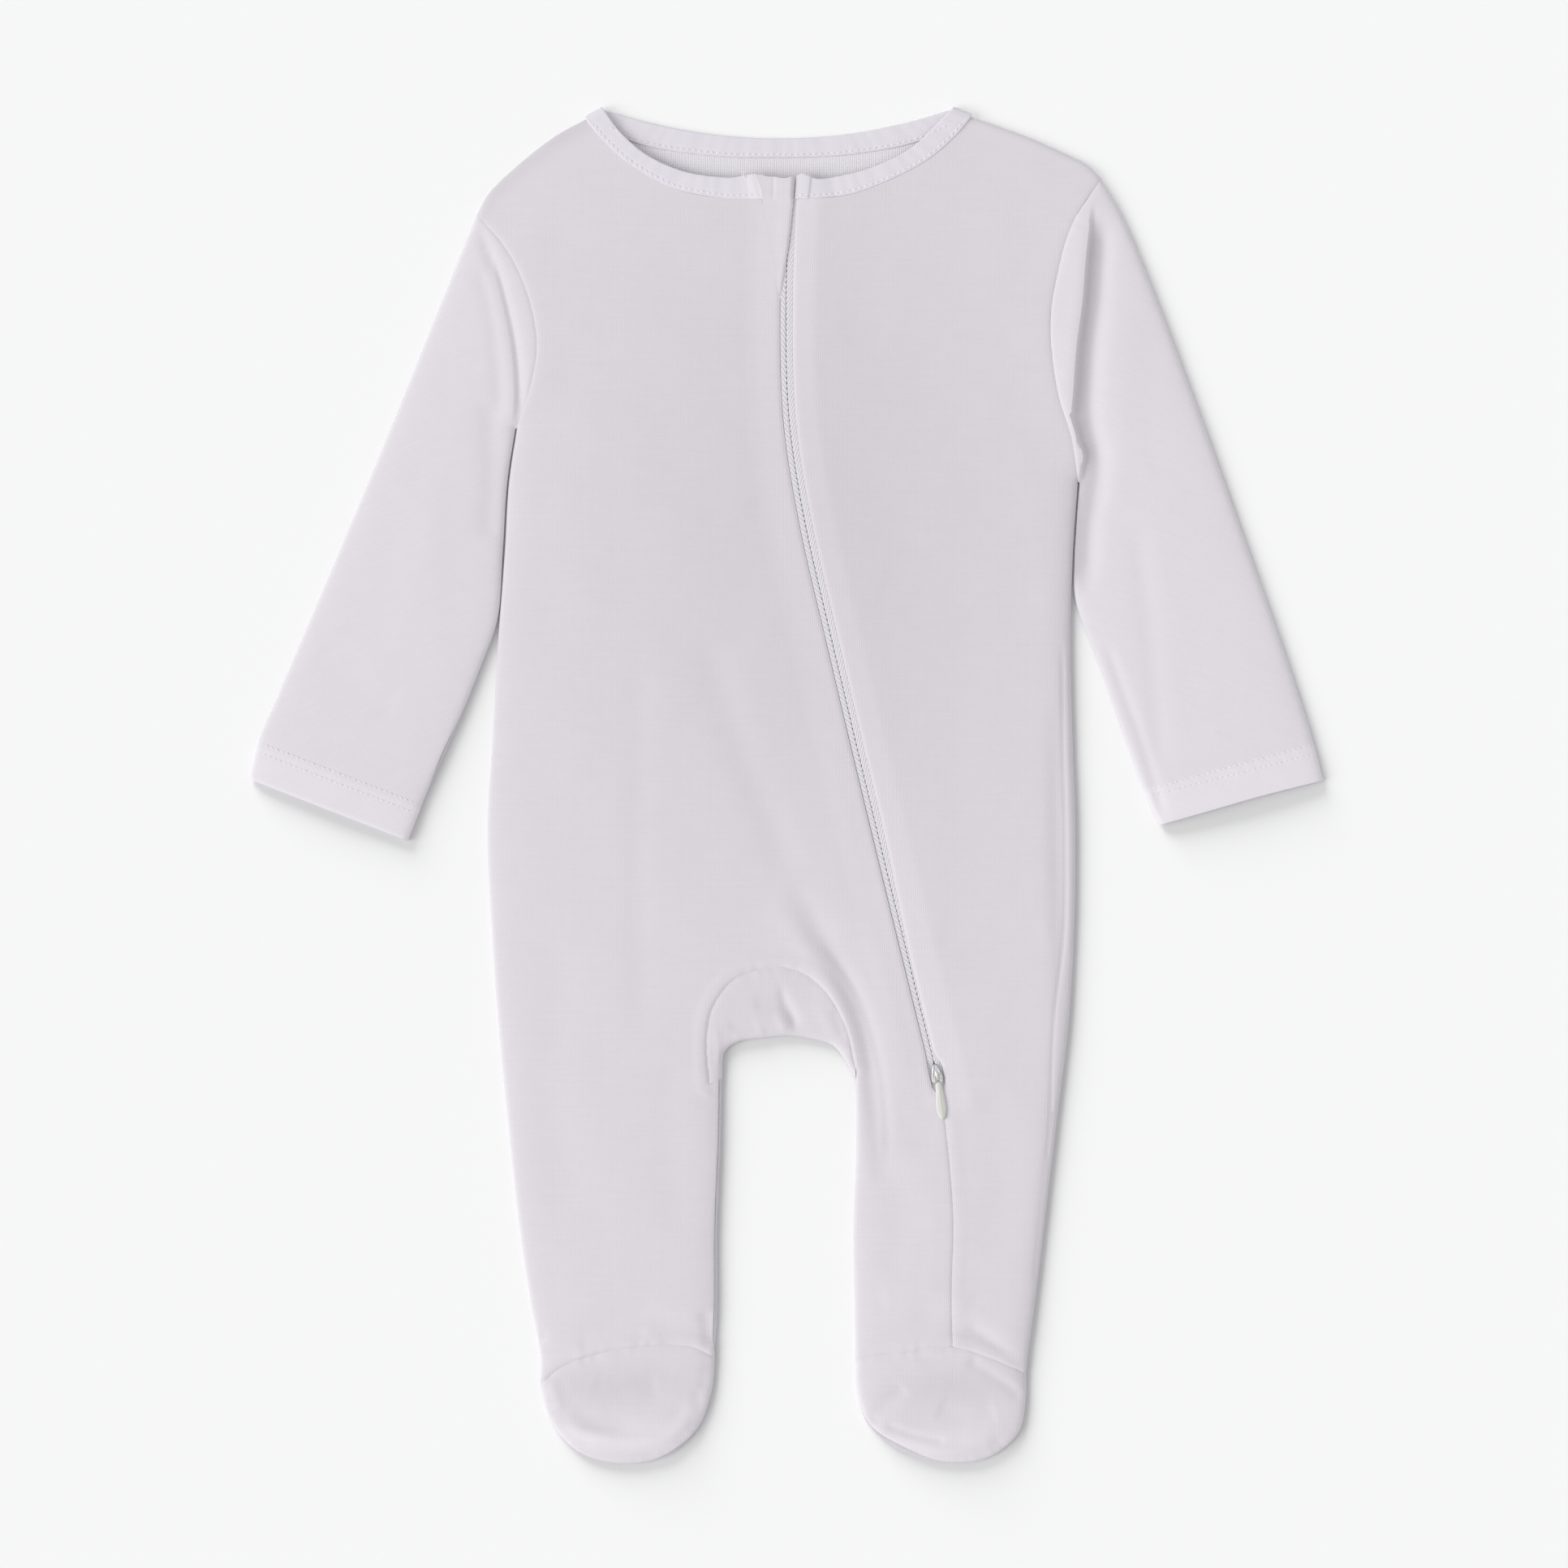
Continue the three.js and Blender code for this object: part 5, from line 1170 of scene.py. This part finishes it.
# ---- sleeves ----
def make_sleeve(side, name, outer_rows, inner_rows, material, relief_rows):
    """A flat tube: an upper wall with the sleeve's relief, and a plain wall on the floor."""
    outer, inner = smooth(outer_rows), smooth(inner_rows)
    armhole = EDGE[f"armhole_{side}"]
    cuff = respaced(CUFF[side], 1.3)
    outline = joined(armhole, inner, cuff[::-1], outer[::-1])
    upper_inner, upper_cuff = inner, cuff
    if side == "r":
        upper_inner = pulled(inner, (-140.5, 14), 13, -1.1)
    else:
        upper_cuff = pulled(cuff, (196, -5), 24, -0.7)
    upper_outline = joined(armhole, upper_inner, upper_cuff[::-1], outer[::-1])
    ledges = [row[1:] for row in relief_rows if row[0] == "ledge"]
    folds = [row[1:] for row in relief_rows if row[0] == "crease"]

    def edge_distance(points):
        return np.minimum(near(outer, points)[0], near(inner, points)[0])

    def relief(points):
        total = 0.16 * ripple(points, 38, 41 + len(name)) + 0.06 * ripple(points, 14, 43)
        total += seam(points, armhole, depth=0.45, pucker=0.06, seed=6)
        from_cuff = near(cuff, points)[0]
        total += 0.22 * (1 - smoothstep(*CUFF_HEM, from_cuff)) - 0.4 * bell(from_cuff / 0.6)
        for depth in CUFF_STITCH_DEPTHS:
            total -= 0.25 * bell((from_cuff - depth) / 0.5)
        return total + creases(points, folds) + sum(ledge(points, *row) for row in ledges)

    points, faces = flat_mesh(upper_outline, STEP, lines=[smooth(row[0], 1.6) for row in ledges])
    edge, uneven = edge_distance(points), relief(points)
    under = SEAM_LEVEL + 0.9 * soft_rise(edge)
    top = np.maximum(under + WALL - edge_drop(edge) + uneven, WALL + 0.35)
    low = np.clip(under - lower_lip(edge) + 0.8 * uneven, WALL - 0.3, top - 0.3)
    shell = closed_shell(points, faces, top, low)
    back_points, back_faces = flat_mesh(outline, 3.2)
    back = closed_shell(back_points, back_faces, np.full(len(back_points), WALL - 0.05),
                        low_edge_drop(edge_distance(back_points)))
    made = mesh_object(f"sleeve_{name}_cloth", *merged([shell, back]), material, tone=sleeve_painted_shade_and_tone)
    add_sheet(made, f"sleeve_{name}")
    for k, depth in enumerate(CUFF_STITCH_DEPTHS):
        start, end = (line[np.argmin(np.abs(np.linalg.norm(line - line[-1], axis=1) - depth))]
                      for line in (outer, inner))
        path = np.array([start + (end - start) * t for t in np.linspace(0.012, 0.985, 60)])
        stitches_on(f"cuff_{name}_stitches_{k + 1}", made, path, pitch=2.3, length=1.5, lean=0.15 if k else -0.15,
                    radius=0.2)


# ---- slider and pull ----
def zip_frame():
    """Place, turn and height at which the slider sits on the zip."""
    line = EDGE["closure"]
    i = int(np.argmin(np.abs(line[:, 1] - SLIDER_Y)))
    way = line[i + 2] - line[i - 2]
    turn = math.atan2(way[1], way[0]) + math.pi / 2
    level = float(front_under(line[[i]])[0]) - TAPE_CLEARANCE + 0.3
    return line[i], turn, level


def placed(vertices, frame_at):
    (x, y), turn, level = frame_at
    c, s = math.cos(turn), math.sin(turn)
    v = np.asarray(vertices, float)
    return np.column_stack([x + c * v[:, 0] - s * v[:, 1], y + s * v[:, 0] + c * v[:, 1], level + v[:, 2]])


def rounded_plate(outline, low, high, bevel, steps=4):
    """A plate with rounded rims, as rings of its outline stacked from low to high."""
    outline = np.array(outline, float)
    rings = []
    for rim_level, first, last in ((low + bevel, -math.pi / 2, 0), (high - bevel, 0, math.pi / 2)):
        for a in np.linspace(first, last, steps):
            flat = inset(outline, bevel * (1 - math.cos(a)))
            rings.append(np.column_stack([flat, np.full(len(flat), rim_level + bevel * math.sin(a))]))
    count = len(outline)
    return np.vstack(rings), end_faces(count, len(rings)) + ring_faces(count, len(rings))


def tube_along(path, radius, sides=12, flatten=1.0):
    """A round or flattened bar along a path of points."""
    path = np.array(path, float)
    along = np.gradient(path, axis=0)
    along /= np.linalg.norm(along, axis=1)[:, None]
    radius = np.broadcast_to(radius, len(path))
    vertices = []
    side = np.array([1.0, 0, 0])
    for k, (point, way) in enumerate(zip(path, along)):
        side = side - way * side.dot(way)
        if np.linalg.norm(side) < 1e-3:
            side = np.array([0, 1.0, 0]) - way * way[1]
        side /= np.linalg.norm(side)
        up = np.cross(way, side)
        for i in range(sides):
            a = 2 * math.pi * i / sides
            vertices.append(point + radius[k] * (side * math.cos(a) + up * flatten * math.sin(a)))
    return np.array(vertices), ring_faces(sides, len(path)) + end_faces(sides, len(path))


# Slider and pull in millimetres, with the zip along Y and the pull towards -Y
SLIDER_HALF_LENGTH, SLIDER_NOSE, SLIDER_TAIL = 4.2, 2.3, 1.35
SLIDER_PLATE = 0.6
SLIDER_RIM = 0.36
BRIDGE_HALF_LENGTH, BRIDGE_FOOT, BRIDGE_RISE, BRIDGE_BAR = 2.5, 1.0, 1.95, 0.5
LOOP_WIDTH, LOOP_LENGTH, LOOP_LEVEL, LOOP_BAR = 1.32, 1.95, 1.9, 0.42
PULL_START, PULL_END, PULL_LEVEL, PULL_THICKNESS = 3.2, 18.5, 1.6, 0.55
PULL_NECK, PULL_HALF_WIDTH, PULL_WIDEST = 1.25, 2.05, 0.7
PULL_CROWN, PULL_RIDGE, PULL_LEAN = 0.5, 0.15, 0.11
PULL_STATIONS, PULL_RIBS = 48, 17


def make_slider():
    half, nose, tail = SLIDER_HALF_LENGTH, SLIDER_NOSE, SLIDER_TAIL
    outline = smooth([(0, -half), (nose * 0.7, -half + 0.35), (nose, -half + 1.8), (nose, -0.8),
                      (tail + 0.1, half - 2.2), (tail * 0.6, half - 0.5), (0, half)], 0.35)
    outline = np.vstack([outline, outline[1:-1][::-1] * [-1, 1]])
    plate = rounded_plate(outline, 0, SLIDER_PLATE, 0.2)
    rim_path = np.column_stack([inset(outline, SLIDER_RIM), np.full(len(outline), 2 * SLIDER_RIM)])
    low_plate = rounded_plate(outline, -2.5, -1.6, 0.25)
    post = rounded_plate([(-0.7, -1.6), (0.7, -1.6), (0.7, 0.8), (-0.7, 0.8)], -1.8, 0.3, 0.1)
    arch = [(0, BRIDGE_HALF_LENGTH * math.sin(t), BRIDGE_FOOT + BRIDGE_RISE * math.cos(t) ** 0.8)
            for t in np.linspace(-1.45, 1.45, 21)]
    bridge = tube_along(arch, BRIDGE_BAR, flatten=0.7)
    vertices, faces = merged([plate, tube_along(rim_path, SLIDER_RIM), low_plate, post, bridge])
    made = mesh_object("zip_slider_metal", placed(vertices, zip_frame()), faces, nickel, sharp=60)
    fix_normals(made)
    finish_piece(made, "zip_slider")


def pull_half_width(t):
    """Half the pull's width at a share of the way from its neck to its round end."""
    if t < PULL_WIDEST:
        half = PULL_NECK + (PULL_HALF_WIDTH - PULL_NECK) * math.sin(t / PULL_WIDEST * math.pi / 2) ** 1.6
    else:
        past = (t - PULL_WIDEST) / (1 - PULL_WIDEST)
        end = max(0.0, (past - 0.8) / 0.2)
        half = PULL_HALF_WIDTH * (1 - 0.5 * past**1.7) * math.sqrt(max(0.0, 1 - end**2))
    return max(half * min(1, (t / 0.03) ** 0.5), 0.15)


def make_pull():
    """A tab with a raised middle, hung by a loop on the slider's bridge."""
    stations, ribs = PULL_STATIONS, PULL_RIBS
    t = np.linspace(0, 1, stations)
    u = np.linspace(-1, 1, ribs)
    half = np.array([pull_half_width(share) for share in t])
    drop = (PULL_END - PULL_START) * t
    along_middle = smoothstep(0.08, 0.25, t) * (1 - smoothstep(0.86, 0.98, t))
    crown = PULL_CROWN * (1 - np.abs(u) ** 2.4) + PULL_RIDGE * bell(u / 0.16) * along_middle[:, None]
    x = u * half[:, None] - PULL_LEAN * drop[:, None]
    y = np.repeat(-PULL_START - drop, ribs)
    top = np.column_stack([x.ravel(), y, (PULL_LEVEL + PULL_THICKNESS + crown).ravel()])
    low = np.column_stack([(x * (1 - 0.12 * np.abs(u) ** 6)).ravel(), y, np.full(len(y), PULL_LEVEL)])
    count = stations * ribs
    faces = []
    for j in range(stations - 1):
        for a in range(j * ribs, j * ribs + ribs - 1):
            faces.append((a, a + ribs, a + ribs + 1, a + 1))
            faces.append((a + count, a + 1 + count, a + ribs + 1 + count, a + ribs + count))
    rim = [j * ribs for j in range(stations)] + [(stations - 1) * ribs + i for i in range(1, ribs)]
    rim += [j * ribs + ribs - 1 for j in range(stations - 2, -1, -1)] + list(range(ribs - 2, 0, -1))
    faces += [(a, b, b + count, a + count) for a, b in zip(rim, rim[1:] + rim[:1])]
    loop = tube_along([(LOOP_WIDTH * math.cos(a), -LOOP_LENGTH - LOOP_LENGTH * math.sin(a), LOOP_LEVEL)
                       for a in np.linspace(-math.pi / 2 - 2.05, -math.pi / 2 + 2.05, 33)], LOOP_BAR)
    vertices, faces = merged([(np.vstack([top, low]), faces), loop])
    made = mesh_object("zip_pull_enamel", placed(vertices, zip_frame()), faces, enamel, sharp=60)
    fix_normals(made)
    finish_piece(made, "zip_pull", body="pull")


# ---- camera, floor and light ----
PHOTO = 1932
MM_PER_PIXEL = 560 / 1672
PHOTO_CENTRE = ((PHOTO / 2 - 969) * MM_PER_PIXEL, (967 - PHOTO / 2) * MM_PER_PIXEL)
LENS = 120.0
SENSOR = 36.0
FLOOR_HALF = 4.0
FLOOR_DROP = 0.0002
WORLD_LIGHT = 0.64
# Strength, azimuth, elevation and spread
KEY_LIGHT = (1.55, 190, 33, 38)
FLOOR_LIGHT = (3.8, 122, 17, 34)


def make_stage():
    width = PHOTO * MM_PER_PIXEL * MM
    camera = bpy.data.cameras.new("camera")
    camera.lens, camera.sensor_width, camera.sensor_fit = LENS, SENSOR, "AUTO"
    distance = width * LENS / SENSOR
    holder = bpy.data.objects.new("camera", camera)
    holder.location = (PHOTO_CENTRE[0] * MM, PHOTO_CENTRE[1] * MM, distance)
    bpy.context.scene.collection.objects.link(holder)
    bpy.context.scene.camera = holder

    mesh = bpy.data.meshes.new("floor")
    corners = [(x * FLOOR_HALF, y * FLOOR_HALF, 0) for x, y in ((-1, -1), (1, -1), (1, 1), (-1, 1))]
    mesh.from_pydata(corners, [], [(0, 1, 2, 3)])
    floor = bpy.data.objects.new("floor", mesh)
    floor.location.z = -FLOOR_DROP
    bpy.context.scene.collection.objects.link(floor)
    paper, _, _ = new_material("paper", Base_Color=(0.743, 0.743, 0.743, 1), Roughness=0.95, Specular_IOR_Level=0.0)
    mesh.materials.append(paper)

    world = bpy.data.worlds.new("studio")
    bpy.context.scene.world = world
    world.use_nodes = True
    background = world.node_tree.nodes["Background"]
    background.inputs["Color"].default_value = (0.985, 0.99, 1.0, 1)
    background.inputs["Strength"].default_value = WORLD_LIGHT

    sun("key", *KEY_LIGHT)
    low = sun("floor_light", *FLOOR_LIGHT)
    only_floor = bpy.data.collections.new("floor_only")
    only_floor.objects.link(floor)
    low.light_linking.receiver_collection = only_floor
    bpy.context.scene.view_settings.view_transform = "Standard"


def sun(name, strength, azimuth, elevation, spread):
    """A soft lamp from the side given by its azimuth: 0 is +X and 90 is +Y."""
    light = bpy.data.lights.new(name, "SUN")
    light.energy, light.angle = strength, math.radians(spread)
    made = bpy.data.objects.new(name, light)
    a, e = math.radians(azimuth), math.radians(elevation)
    toward = Vector((math.cos(a) * math.cos(e), math.sin(a) * math.cos(e), math.sin(e)))
    made.rotation_euler = toward.to_track_quat("Z", "Y").to_euler()
    bpy.context.scene.collection.objects.link(made)
    return made


make_stage()
make_back()
make_fronts()
make_feet()
make_gusset()
make_sleeve("r", "right", SLEEVE_R_OUTER, SLEEVE_R_INNER, sleeve_r_cloth, SLEEVE_R_RELIEF)
make_sleeve("l", "left", SLEEVE_L_OUTER, SLEEVE_L_INNER, sleeve_l_cloth, SLEEVE_L_RELIEF)
make_neck()
make_guard()
make_tapes()
make_coil()
make_slider()
make_pull()
